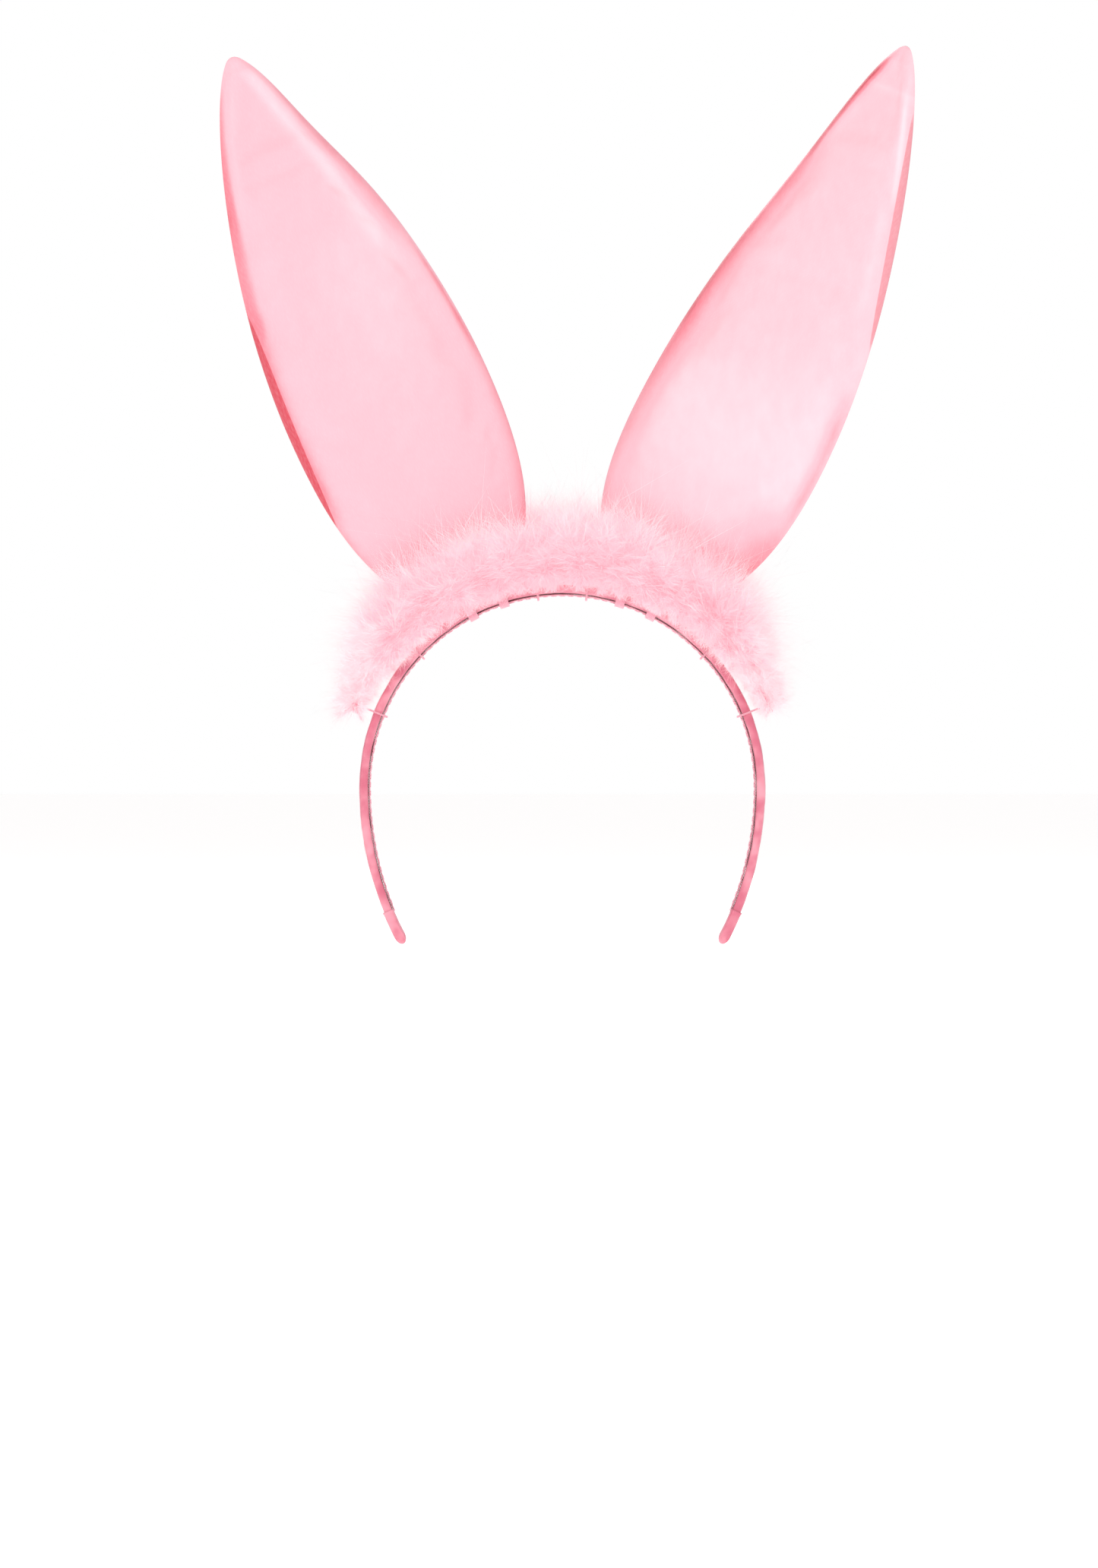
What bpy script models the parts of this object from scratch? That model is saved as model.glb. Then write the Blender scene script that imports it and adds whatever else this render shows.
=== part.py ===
"""Animal ears headband: two wired satin ears on a satin-covered hair band with marabou trim.

Metres, +Z up. The wearer faces -Y and their left is +X. The origin is the middle of the
ribbon's head-side face at the crown, where the band rests on the head.
"""

import math

import bmesh
import bpy
from mathutils import Vector
from mathutils.geometry import interpolate_bezier

MM = 0.001
GAP = 0.3 * MM  # clearance between pieces that touch

# Head-side face of the band: a half circle over the crown, then two arms that close in
CROWN_RADIUS = 72 * MM
BAND_HEIGHT = 128 * MM
ARM_SPREAD = 58 * MM  # middle plane to the head side of an arm's end
BAND_STEPS = 41  # odd, so that the step at the crown is flat and centred

# Layers of the band, counted outward from the head
RIBBON_THICKNESS = 0.6 * MM
RIBBON_HALF_WIDTHS = (5.0 * MM, 3.4 * MM)  # at the crown, at an arm's end
SATIN_THICKNESS = 0.5 * MM
SLEEVE_HALF_WIDTHS = (7.6 * MM, 4.9 * MM)
CORE_THICKNESS = 1.8 * MM
CORE_HALF_WIDTHS = (6.2 * MM, 3.6 * MM)
TIP_LENGTH = 12 * MM  # folded satin end over each arm
TIP_WALL = 1.2 * MM
TIP_BULGE = 0.2 * MM  # how far the folded end stands proud of the sleeve
TIP_ROUND = 3 * MM  # length of its rounded end
CORE_CORNER = 0.5 * MM  # corner radii of the strips' sections
SLEEVE_CORNER = 1.1 * MM
SLEEVE_INNER_CORNER = 0.7 * MM
RIBBON_CORNER = 0.15 * MM
TIP_CORNER = 0.9 * MM

# Ears: seat on the band, lean from the vertical, and the cut of the panels
SEAT_ANGLE = math.radians(22.4)
EAR_LEAN = {"left": math.radians(25.1), "right": math.radians(25.8)}
EAR_LENGTH = {"left": 210 * MM, "right": 216 * MM}
EAR_HALF_WIDTH = 39.8 * MM
EAR_BASE_HALF_WIDTH = 25.5 * MM
WIDEST_AT = 0.68  # of the length, from the tip
TIP_PULL = (2 * MM, 11 * MM)  # how blunt the tip is: second point of the outline's upper curve
WAIST_PULL = 0.545  # share of the way to the widest place at which the outline is full
BASE_PULLS = ((0.83, 1.0), (0.93, 0.89))  # share of the length, share of the half width
EAR_THICKNESS = 10 * MM
FULL_THICKNESS_FROM = 7 * MM  # half width over which the ear is full thickness
EDGE_ROUND = 0.8  # largest share of the half width that the rounded edge may take
DOME = 0.05  # how much thicker the middle of a section is than its shoulders
EAR_PANEL = 0.6 * MM
SOLID_TIP = 0.8  # share of the tip's section that the bunched seam fills
EAR_BASE_SHIFT = 2 * MM  # the base sits a little outward of the tilt pivot
EAR_BOW = {"left": 0.5 * MM, "right": 3 * MM}  # sideways curve of the middle line
EAR_TWIST = {"left": math.radians(8), "right": math.radians(36)}  # at the tip, outer edge back
TWIST_REACH = 0.35  # share of the ear's length over which most of the twist builds up
# The inner edge is cut in a little: share of the width, where from the tip, over how much length
EAR_CUT = {"left": (0.145, 0.13, 0.14), "right": (0.125, 0.20, 0.19)}
PIVOT_TO_EAR = 4 * MM  # from the tilt pivot up to the ear's sewn base

# Wires that carry each ear
LOOP_WIRE_RADIUS = 0.6 * MM
LOOP_TOP_RISE = 1.6 * MM  # the top turn, above the highest place beside it
LOOP_CORNER = 2.5  # the wire's bend at the base, in insets from the ear's corner
LOOP_END = (1.2 * MM, 1.3 * MM)  # below the ear's base, out from the middle line
FOOT_WIRE_RADIUS = 0.75 * MM
FOOT_HALF_LENGTH = 11 * MM
STEM_RADIUS = 1.9 * MM
STEM_LENGTH = 7.7 * MM  # between its two bending points
LASHING_OFFSET = 6.2 * MM  # from the seat, along the band
LASHING_WIDTH = 4 * MM
LASHING_THICKNESS = 0.6 * MM
LASHING_CORNER = 1.0 * MM

# Marabou: two boas, each a string with down plumes round it
STRING_SIDE = 7.5 * MM
STRING_OUT = 11 * MM
STRING_RADIUS = 1.1 * MM
STRING_REACH = math.radians(70)
BORE_RADIUS = 1.6 * MM
NECK_RADIUS = 3.2 * MM
THREAD_RADIUS = 0.4 * MM
PLUME_END_SCALES = ((0, 0.62), (0.04, 0.84))  # share of a stretch, scale of its section
PLUME_STEP = 9 * MM
BINDING_ANGLES = (7.25, 47.0, 68.0)  # degrees from the crown, on both sides
# name, start and end in degrees, then the tuft's centre (side, out) and radius
PLUME_SECTIONS = (
    ("right_end", -66.5, -48.0, 16.0, 17.0, 13.5),
    ("right_ear", -46.0, -8.2, 18.6, 13.2, 9.6),
    ("middle", -6.3, 6.3, 18.6, 13.2, 9.6),
    ("left_ear", 8.2, 46.0, 18.6, 13.2, 9.6),
    ("left_end", 48.0, 66.5, 16.0, 17.0, 13.5),
)

# Sizes that follow
ARM_DROP = BAND_HEIGHT - CROWN_RADIUS
ARM_ANGLE = 2 * math.atan((CROWN_RADIUS - ARM_SPREAD) / ARM_DROP)
ARM_RADIUS = ARM_DROP / math.sin(ARM_ANGLE)
QUARTER = CROWN_RADIUS * math.pi / 2
HALF_LENGTH = QUARTER + ARM_RADIUS * ARM_ANGLE
SLEEVE_LOW = RIBBON_THICKNESS + GAP
CORE_LOW = SLEEVE_LOW + SATIN_THICKNESS + GAP
CORE_HIGH = CORE_LOW + CORE_THICKNESS
SLEEVE_HIGH = CORE_HIGH + GAP + SATIN_THICKNESS
FOOT_OUT = SLEEVE_HIGH + GAP + FOOT_WIRE_RADIUS
LASHING_HIGH = FOOT_OUT + FOOT_WIRE_RADIUS + GAP
SWING_OUT = LASHING_HIGH + STEM_RADIUS
SIDES = {"left": 1, "right": -1}

COLOURS = {  # colour, roughness, metallic
    "plastic": ((0.85, 0.80, 0.80, 1), 0.45, 0.0),
    "satin": ((0.95, 0.52, 0.60, 1), 0.38, 0.0),
    "ribbon": ((0.93, 0.55, 0.62, 1), 0.60, 0.0),
    "wadding": ((0.96, 0.94, 0.92, 1), 0.95, 0.0),
    "steel": ((0.62, 0.62, 0.64, 1), 0.35, 1.0),
    "tape": ((0.94, 0.60, 0.66, 1), 0.55, 0.0),
    "thread": ((0.96, 0.62, 0.68, 1), 0.70, 0.0),
    "string": ((0.97, 0.78, 0.81, 1), 0.85, 0.0),
    "marabou": ((0.99, 0.74, 0.79, 1), 0.90, 0.0),
}


def clear_scene():
    for old in list(bpy.data.objects):
        bpy.data.objects.remove(old, do_unlink=True)


def material(kind):
    mat = bpy.data.materials.get(kind)
    if mat:
        return mat
    mat = bpy.data.materials.new(kind)
    mat.use_nodes = True
    shader = mat.node_tree.nodes["Principled BSDF"]
    colour, roughness, metallic = COLOURS[kind]
    shader.inputs["Base Color"].default_value = colour
    shader.inputs["Roughness"].default_value = roughness
    shader.inputs["Metallic"].default_value = metallic
    mat.diffuse_color = colour
    return mat


def place(name, data, kind):
    """One object for one piece, in the scene's collection."""
    piece = bpy.data.objects.new(name, data)
    bpy.context.scene.collection.objects.link(piece)
    data.materials.append(material(kind))
    return piece


def finish_mesh(name, bm, kind):
    bmesh.ops.recalc_face_normals(bm, faces=bm.faces)
    mesh = bpy.data.meshes.new(name)
    bm.to_mesh(mesh)
    bm.free()
    mesh.shade_smooth()
    mesh.set_sharp_from_angle(angle=math.radians(40))
    return place(name, mesh, kind)


# ---- lofting ------------------------------------------------------------------------------


def skin(bm, near, far):
    """A belt of four-sided faces between two rings with the same number of vertices."""
    for i in range(len(near)):
        bm.faces.new((near[i - 1], near[i], far[i], far[i - 1]))


def skin_rings(bm, rings):
    """Skin a row of rings; returns the first and the last, still open."""
    loops = [[bm.verts.new(point) for point in ring] for ring in rings]
    for near, far in zip(loops, loops[1:], strict=False):
        skin(bm, near, far)
    return loops[0], loops[-1]


def solid_loft(name, rings, kind):
    bm = bmesh.new()
    for rim in skin_rings(bm, rings):
        bm.faces.new(rim)
    return finish_mesh(name, bm, kind)


def tube_loft(name, outer, inner, kind, closed_end=False):
    """A hollow body open at both ends, or a cup when closed_end is set."""
    bm = bmesh.new()
    outer_start, outer_end = skin_rings(bm, outer)
    inner_start, inner_end = skin_rings(bm, inner)
    skin(bm, outer_start, inner_start)
    if closed_end:
        bm.faces.new(outer_end)
        bm.faces.new(inner_end)
    else:
        skin(bm, outer_end, inner_end)
    return finish_mesh(name, bm, kind)


def wire(name, points, radius, kind, sides=2, cyclic=False):
    """A round wire or cord through the points, with filled ends."""
    curve = bpy.data.curves.new(name, "CURVE")
    curve.dimensions = "3D"
    curve.bevel_depth = radius
    curve.bevel_resolution = sides
    curve.use_fill_caps = True
    spline = curve.splines.new("POLY")
    spline.points.add(len(points) - 1)
    for target, point in zip(spline.points, points, strict=True):
        target.co = (*point, 1)
    spline.use_cyclic_u = cyclic
    return place(name, curve, kind)


# ---- the band's own coordinates ----------------------------------------------------------------


def on_band(along, side, out):
    """The point `along` the band from the crown, `side` in Y and `out` from the head."""
    distance = abs(along)
    if distance <= QUARTER:
        angle = distance / CROWN_RADIUS
        x = (CROWN_RADIUS + out) * math.sin(angle)
        z = (CROWN_RADIUS + out) * math.cos(angle) - CROWN_RADIUS
    else:
        angle = (distance - QUARTER) / ARM_RADIUS
        x = CROWN_RADIUS - ARM_RADIUS + (ARM_RADIUS + out) * math.cos(angle)
        z = -(ARM_RADIUS + out) * math.sin(angle) - CROWN_RADIUS
    return Vector((math.copysign(x, along), side, z))


def even_steps(start, end, count):
    return [start + (end - start) * i / count for i in range(count + 1)]


def tapered(widths, along):
    crown, end = widths
    share = min(abs(along) / HALF_LENGTH, 1)
    return crown + (end - crown) * share * share * (3 - 2 * share)


def rounded_section(half_width, low, high, corner):
    """Eight (side, out) points round a strip's section."""
    inner = half_width - corner
    return [
        (inner, low), (half_width, low + corner), (half_width, high - corner), (inner, high),
        (-inner, high), (-half_width, high - corner), (-half_width, low + corner), (-inner, low),
    ]


def strip_ring(along, half_width, low, high, corner):
    section = rounded_section(half_width, low, high, corner)
    return [on_band(along, side, out) for side, out in section]


def make_band():
    stations = even_steps(-HALF_LENGTH, HALF_LENGTH, BAND_STEPS)
    core = [
        strip_ring(s, tapered(CORE_HALF_WIDTHS, s), CORE_LOW, CORE_HIGH, CORE_CORNER)
        for s in stations
    ]
    solid_loft("headband_core", core, "plastic")

    covered = HALF_LENGTH - TIP_LENGTH
    stations = [s for s in stations if abs(s) < covered]
    stations = [-covered, *stations, covered]
    outer = []
    inner = []
    ribbon = []
    for s in stations:
        half = tapered(SLEEVE_HALF_WIDTHS, s)
        outer.append(strip_ring(s, half, SLEEVE_LOW, SLEEVE_HIGH, SLEEVE_CORNER))
        low = SLEEVE_LOW + SATIN_THICKNESS
        high = SLEEVE_HIGH - SATIN_THICKNESS
        inner.append(strip_ring(s, half - SATIN_THICKNESS, low, high, SLEEVE_INNER_CORNER))
        flat = tapered(RIBBON_HALF_WIDTHS, s)
        ribbon.append(strip_ring(s, flat, 0, RIBBON_THICKNESS, RIBBON_CORNER))
    tube_loft("satin_sleeve", outer, inner, "satin")
    solid_loft("ribbon_lining", ribbon, "ribbon")


def make_end_tip(name, sign):
    """A folded satin cup over an arm's end, with the plastic core's end inside."""
    start = HALF_LENGTH - TIP_LENGTH + GAP
    straight = HALF_LENGTH - TIP_ROUND
    end = HALF_LENGTH + GAP + TIP_WALL
    outer = []
    for s, inset in ((start, 0), (straight, 0), (HALF_LENGTH, GAP), (end, TIP_CORNER)):
        half = tapered(SLEEVE_HALF_WIDTHS, s) - inset
        low = SLEEVE_LOW - TIP_BULGE + inset
        high = SLEEVE_HIGH + TIP_BULGE - inset
        outer.append(strip_ring(sign * s, half, low, high, TIP_CORNER))
    inner = []
    for s in (start, straight, HALF_LENGTH + GAP):
        half = tapered(CORE_HALF_WIDTHS, s) + GAP
        inner.append(strip_ring(sign * s, half, CORE_LOW - GAP, CORE_HIGH + GAP, CORE_CORNER))
    tube_loft(name, outer, inner, "satin", closed_end=True)


# ---- an ear's own coordinates ------------------------------------------------------------------


def ear_axes(side):
    """Tilt pivot, then the unit vectors up the ear and outward across it."""
    sign = SIDES[side]
    lean = EAR_LEAN[side]
    up = Vector((sign * math.sin(lean), 0, math.cos(lean)))
    across = Vector((sign * math.cos(lean), 0, -math.sin(lean)))
    foot = on_band(sign * CROWN_RADIUS * SEAT_ANGLE, 0, SWING_OUT)
    return foot, foot + up * STEM_LENGTH, up, across


def ear_outline(length):
    """(distance from the tip, half width) down one side of the flat ear."""
    waist = length * WIDEST_AT
    tip_side = (
        Vector((0, 0)), Vector(TIP_PULL),
        Vector((waist * WAIST_PULL, EAR_HALF_WIDTH)), Vector((waist, EAR_HALF_WIDTH)),
    )
    pulls = [Vector((length * share, EAR_HALF_WIDTH * width)) for share, width in BASE_PULLS]
    base_side = (
        Vector((waist, EAR_HALF_WIDTH)), *pulls, Vector((length, EAR_BASE_HALF_WIDTH)),
    )
    upper = interpolate_bezier(*tip_side, 13)[1:]
    lower = interpolate_bezier(*base_side, 8)[1:]
    return [(p[0], p[1]) for p in upper + lower]


def half_thickness(half_width):
    return EAR_THICKNESS / 2 * min(1, half_width / FULL_THICKNESS_FROM)


def lens(half_width, thickness):
    """(across, depth) over the upper half of an ear's section, rounded at both edges."""
    edge = min(thickness, EDGE_ROUND * half_width)
    angles = [math.radians(a) for a in (0, 30, 60, 90)]
    right = [(half_width - edge + edge * math.cos(a), thickness * math.sin(a)) for a in angles]
    left = [(-across, depth) for across, depth in reversed(right)]
    flat = half_width - edge
    shares = [k / 3 for k in (2, 1, 0, -1, -2)]
    dome = [(flat * k, thickness * (1 + DOME - DOME * k * k)) for k in shares]
    return right + dome + left


def in_ear(side, from_tip, across, depth):
    """World point of a place in the ear, with its bow and twist."""
    _, pivot, up, outward = ear_axes(side)
    length = EAR_LENGTH[side]
    share = 1 - from_tip / length
    if across < 0:
        cut, middle, spread = EAR_CUT[side]
        across *= 1 - cut * math.exp(-(((from_tip / length - middle) / spread) ** 2))
    twist = EAR_TWIST[side] * (1 - math.exp(-max(share, 0) / TWIST_REACH))
    wide = across * math.cos(twist) - depth * math.sin(twist)
    deep = across * math.sin(twist) + depth * math.cos(twist)
    bow = EAR_BOW[side] * math.sin(math.pi * min(max(share, 0), 1))
    wide += EAR_BASE_SHIFT * (1 - share) + bow
    height = PIVOT_TO_EAR + length - from_tip
    return pivot + up * height + outward * wide + Vector((0, deep, 0))


def make_ear_panel(side, face, sign):
    """One satin panel: a shallow shell whose rim meets the other panel's at the seam."""
    rings = []
    for index, (from_tip, half) in enumerate(ear_outline(EAR_LENGTH[side])):
        thick = half_thickness(half)
        wall = EAR_PANEL if index else SOLID_TIP * half
        deep_wall = EAR_PANEL if index else SOLID_TIP * thick
        outer = lens(half, thick)
        inner = lens(half - wall, thick - deep_wall)
        section = outer + inner[::-1]
        rings.append(
            [in_ear(side, from_tip, w, sign * max(d, GAP / 2)) for w, d in section]
        )
    solid_loft(f"{side}_ear_{face}_panel", rings, "satin")


def inset_outline(outline, inset):
    """The ear's outline moved inward by inset, without its two end points."""
    moved = []
    for before, here, after in zip(outline, outline[1:], outline[2:], strict=False):
        run = Vector(after) - Vector(before)
        inward = Vector((run.y, -run.x)).normalized()
        moved.append((here[0] + inward.x * inset, here[1] + inward.y * inset))
    return moved


def make_ear_filling(side):
    """Wadding between the panels, short of the seam so that the wire has room."""
    inset = EAR_PANEL + 2 * GAP + 2 * LOOP_WIRE_RADIUS
    outline = ear_outline(EAR_LENGTH[side])
    rings = []
    for before, here, after in zip(outline[2:], outline[3:], outline[4:-1], strict=False):
        slope = (after[1] - before[1]) / (after[0] - before[0])
        half = here[1] - inset * math.hypot(1, slope)
        thick = half_thickness(here[1]) - EAR_PANEL - 1.5 * GAP
        upper = lens(half, thick)
        lower = [(w, -d) for w, d in reversed(upper[1:-1])]
        rings.append([in_ear(side, here[0], w, d) for w, d in upper + lower])
    solid_loft(f"{side}_ear_filling", rings, "wadding")


def make_ear_wire(side):
    """One wire round inside the seam, its two ends coming together over the stem."""
    inset = EAR_PANEL + GAP + LOOP_WIRE_RADIUS
    edge = inset_outline(ear_outline(EAR_LENGTH[side]), inset)[1:]
    corner = (EAR_LENGTH[side], EAR_BASE_HALF_WIDTH - LOOP_CORNER * inset)
    end = (EAR_LENGTH[side] + LOOP_END[0], LOOP_END[1])
    one_side = [*edge, corner, end]
    top = (edge[0][0] - LOOP_TOP_RISE, 0)
    route = [(a, -w) for a, w in reversed(one_side)] + [top] + one_side
    points = [in_ear(side, from_tip, across, 0) for from_tip, across in route]
    wire(f"{side}_ear_wire", points, LOOP_WIRE_RADIUS, "steel", sides=1)


def make_stem(side):
    """Twisted wire ends wound with tape: a short pin with round ends at the two bends."""
    foot, _, up, _ = ear_axes(side)
    bm = bmesh.new()
    bmesh.ops.create_uvsphere(bm, u_segments=10, v_segments=6, radius=STEM_RADIUS)
    upper = [f for f in bm.faces if f.calc_center_median().z > 0]
    bmesh.ops.split(bm, geom=upper)
    raised = {v for f in bm.faces if f.calc_center_median().z > 0 for v in f.verts}
    bmesh.ops.translate(bm, verts=list(raised), vec=(0, 0, STEM_LENGTH))
    bmesh.ops.bridge_loops(bm, edges=[e for e in bm.edges if e.is_boundary])
    turn = up.to_track_quat("Z", "Y").to_matrix()
    bmesh.ops.rotate(bm, verts=bm.verts, cent=(0, 0, 0), matrix=turn)
    stem = finish_mesh(f"{side}_ear_stem", bm, "tape")
    stem.location = foot


def make_foot_wire(side):
    """The wire's two ends, bent apart along the band under the lashings."""
    seat = SIDES[side] * CROWN_RADIUS * SEAT_ANGLE
    stations = even_steps(seat - FOOT_HALF_LENGTH, seat + FOOT_HALF_LENGTH, 6)
    points = [on_band(s, 0, FOOT_OUT) for s in stations]
    wire(f"{side}_foot_wire", points, FOOT_WIRE_RADIUS, "steel")


def make_lashing(name, along):
    """Thread wound flat round the band and one leg of the foot wire."""
    half = tapered(SLEEVE_HALF_WIDTHS, along) + GAP
    low = -1.5 * GAP
    grow = LASHING_THICKNESS
    corner = LASHING_CORNER + grow
    outer = []
    inner = []
    for s in (along - LASHING_WIDTH / 2, along + LASHING_WIDTH / 2):
        outer.append(strip_ring(s, half + grow, low - grow, LASHING_HIGH + grow, corner))
        inner.append(strip_ring(s, half, low, LASHING_HIGH, LASHING_CORNER))
    tube_loft(name, outer, inner, "thread")


# ---- marabou -------------------------------------------------------------------------------------


def make_boa_string(row, sign):
    reach = STRING_REACH * CROWN_RADIUS
    points = [on_band(s, sign * STRING_SIDE, STRING_OUT) for s in even_steps(-reach, reach, 40)]
    wire(f"{row}_boa_string", points, STRING_RADIUS, "string", sides=1)


def egg(tuft, neck, count=10):
    """Outline round two circles, each a centre and a radius, as a belt would lie on them."""
    points = []
    for i in range(count):
        angle = 2 * math.pi * (i + 0.5) / count
        way = Vector((math.cos(angle), math.sin(angle)))
        centre, radius = max((tuft, neck), key=lambda c: c[0].dot(way) + c[1])
        points.append(centre + way * radius)
    return points


def make_plumes(row, sign, name, start, end, side, out, radius):
    """A stretch of down round the string, with round ends and a bore for the string."""
    string = Vector((STRING_SIDE, STRING_OUT))
    tuft = (Vector((side * MM, out * MM)), radius * MM)
    outline = egg(tuft, (string, NECK_RADIUS))
    bore = egg((string, BORE_RADIUS), (string, BORE_RADIUS))
    stretch = math.radians(end - start) * CROWN_RADIUS
    middle = even_steps(0.14, 0.86, max(2, round(stretch / PLUME_STEP)))
    closing = [(1 - share, scale) for share, scale in reversed(PLUME_END_SCALES)]
    stations = [*PLUME_END_SCALES, *[(m, 1) for m in middle], *closing]
    outer = []
    inner = []
    for share, scale in stations:
        s = math.radians(start) * CROWN_RADIUS + share * stretch
        ring = [string + (p - string) * scale for p in outline]
        outer.append([on_band(s, sign * p.x, p.y) for p in ring])
        inner.append([on_band(s, sign * p.x, p.y) for p in bore])
    tube_loft(f"{row}_plumes_{name}", outer, inner, "marabou")


def make_binding(number, degrees):
    """A thread loop round the band and both boa strings."""
    along = math.radians(degrees) * CROWN_RADIUS
    reach = STRING_RADIUS + GAP + THREAD_RADIUS
    half = tapered(SLEEVE_HALF_WIDTHS, along) + GAP + THREAD_RADIUS
    low = -1.2 * GAP - THREAD_RADIUS
    high = STRING_OUT + reach
    wide = STRING_SIDE + reach
    corner = SLEEVE_CORNER
    right = [
        (half - corner, low), (half, low + corner), (half, SLEEVE_HIGH),
        (wide, STRING_OUT), (wide - corner / 2, high - corner / 2), (wide - reach, high),
    ]
    section = right + [(-side, out) for side, out in reversed(right)]
    points = [on_band(along, side, out) for side, out in section]
    wire(f"binding_thread_{number}", points, THREAD_RADIUS, "thread", sides=1, cyclic=True)


def make_ear(side):
    seat = SIDES[side] * CROWN_RADIUS * SEAT_ANGLE
    outward = SIDES[side] * LASHING_OFFSET
    make_foot_wire(side)
    make_lashing(f"{side}_lashing_inner", seat - outward)
    make_lashing(f"{side}_lashing_outer", seat + outward)
    make_stem(side)
    make_ear_wire(side)
    make_ear_filling(side)
    make_ear_panel(side, "front", -1)
    make_ear_panel(side, "back", 1)


def make_boa(row, sign):
    make_boa_string(row, sign)
    for section in PLUME_SECTIONS:
        make_plumes(row, sign, *section)


def main():
    clear_scene()
    make_band()
    make_end_tip("left_end_tip", 1)
    make_end_tip("right_end_tip", -1)
    for side in SIDES:
        make_ear(side)
    make_boa("front", -1)
    make_boa("back", 1)
    angles = sorted([-a for a in BINDING_ANGLES] + list(BINDING_ANGLES))
    for number, degrees in enumerate(angles, 1):
        make_binding(number, degrees)


main()
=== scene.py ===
# %% [markdown]
# # An animal ears headband
#
# The object is a hair band with two wired satin ears and a thick trim of marabou, which is the soft
# down of a stork or a turkey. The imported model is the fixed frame: it says where each part is. This
# script adds the looks around it, piece by piece, and every length below is in metres.

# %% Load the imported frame
import math

import bmesh
import bpy
import numpy as np
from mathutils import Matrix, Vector, noise
from mathutils.bvhtree import BVHTree
from mathutils.geometry import interpolate_bezier


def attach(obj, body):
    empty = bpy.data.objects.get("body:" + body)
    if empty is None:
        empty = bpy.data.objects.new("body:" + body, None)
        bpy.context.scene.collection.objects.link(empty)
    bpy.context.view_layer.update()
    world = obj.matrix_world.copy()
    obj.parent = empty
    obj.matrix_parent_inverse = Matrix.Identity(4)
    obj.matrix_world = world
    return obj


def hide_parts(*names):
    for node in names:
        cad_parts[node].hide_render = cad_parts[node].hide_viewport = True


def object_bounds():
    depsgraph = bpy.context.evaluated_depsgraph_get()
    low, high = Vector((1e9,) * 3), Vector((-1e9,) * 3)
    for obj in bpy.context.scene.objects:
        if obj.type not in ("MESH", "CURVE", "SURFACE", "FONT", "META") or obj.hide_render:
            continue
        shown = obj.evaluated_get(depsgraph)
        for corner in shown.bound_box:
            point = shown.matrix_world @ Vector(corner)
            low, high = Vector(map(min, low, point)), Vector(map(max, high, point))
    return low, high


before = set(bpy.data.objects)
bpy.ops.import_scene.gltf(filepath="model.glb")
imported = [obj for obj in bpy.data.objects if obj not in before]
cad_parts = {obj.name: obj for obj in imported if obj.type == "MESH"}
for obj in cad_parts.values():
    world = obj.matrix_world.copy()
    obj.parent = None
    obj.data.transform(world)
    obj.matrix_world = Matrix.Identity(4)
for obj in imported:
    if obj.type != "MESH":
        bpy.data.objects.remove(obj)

MM = 0.001
MERGE = 0.01 * MM  # points closer than this are one point
cad_low, cad_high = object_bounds()
SIDES = {"left": 1, "right": -1}
print("CAD box in mm:", [round(v / MM, 1) for v in (*cad_low, *cad_high)])

# %% [markdown]
# ## Camera
#
# The headband is seen from behind and level, from far enough away that the ears hardly converge. A
# long lens on a distant camera does that. The field is set by its height, since the picture is
# upright, and the lens follows from two similar triangles.

# %% Camera
CAMERA_DISTANCE = 2.6
FIELD_HEIGHT = 0.5897  # what the picture's height covers at the headband
CAMERA_X = 0.005
CAMERA_Z = -0.0706
SENSOR_HEIGHT = 24.0  # in the camera's own millimetres

scene = bpy.context.scene
camera_data = bpy.data.cameras.new("camera")
camera_data.sensor_fit = "VERTICAL"
camera_data.sensor_height = SENSOR_HEIGHT
camera_data.lens = SENSOR_HEIGHT * CAMERA_DISTANCE / FIELD_HEIGHT
camera_data.clip_start = 0.05
camera = bpy.data.objects.new("camera", camera_data)
camera.location = (CAMERA_X, CAMERA_DISTANCE, CAMERA_Z)
camera.rotation_euler = (math.radians(90), 0, math.radians(180))
scene.collection.objects.link(camera)
scene.camera = camera
print("lens", round(camera_data.lens, 1), "mm")

# %% [markdown]
# ## Shader maths in Python
#
# Node materials are easier to read as expressions. `Wire` stands for one socket that carries a
# number, and adding or multiplying wires adds the Math node that does it. `Finish` is one material:
# its `add` method makes any other node from a type, its settings and its socket values.

# %% Wire and Finish


class Wire:
    """One socket that carries a number, a colour or a vector."""

    def __init__(self, finish, socket):
        self.finish = finish
        self.socket = socket

    def maths(self, operation, first, second):
        values = {0: first, 1: second}
        return self.finish.add("ShaderNodeMath", {"operation": operation}, values)

    def __add__(self, other):
        return self.maths("ADD", self, other)

    def __sub__(self, other):
        return self.maths("SUBTRACT", self, other)

    def __rsub__(self, other):
        return self.maths("SUBTRACT", other, self)

    def __mul__(self, other):
        return self.maths("MULTIPLY", self, other)

    __radd__ = __add__
    __rmul__ = __mul__


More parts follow.
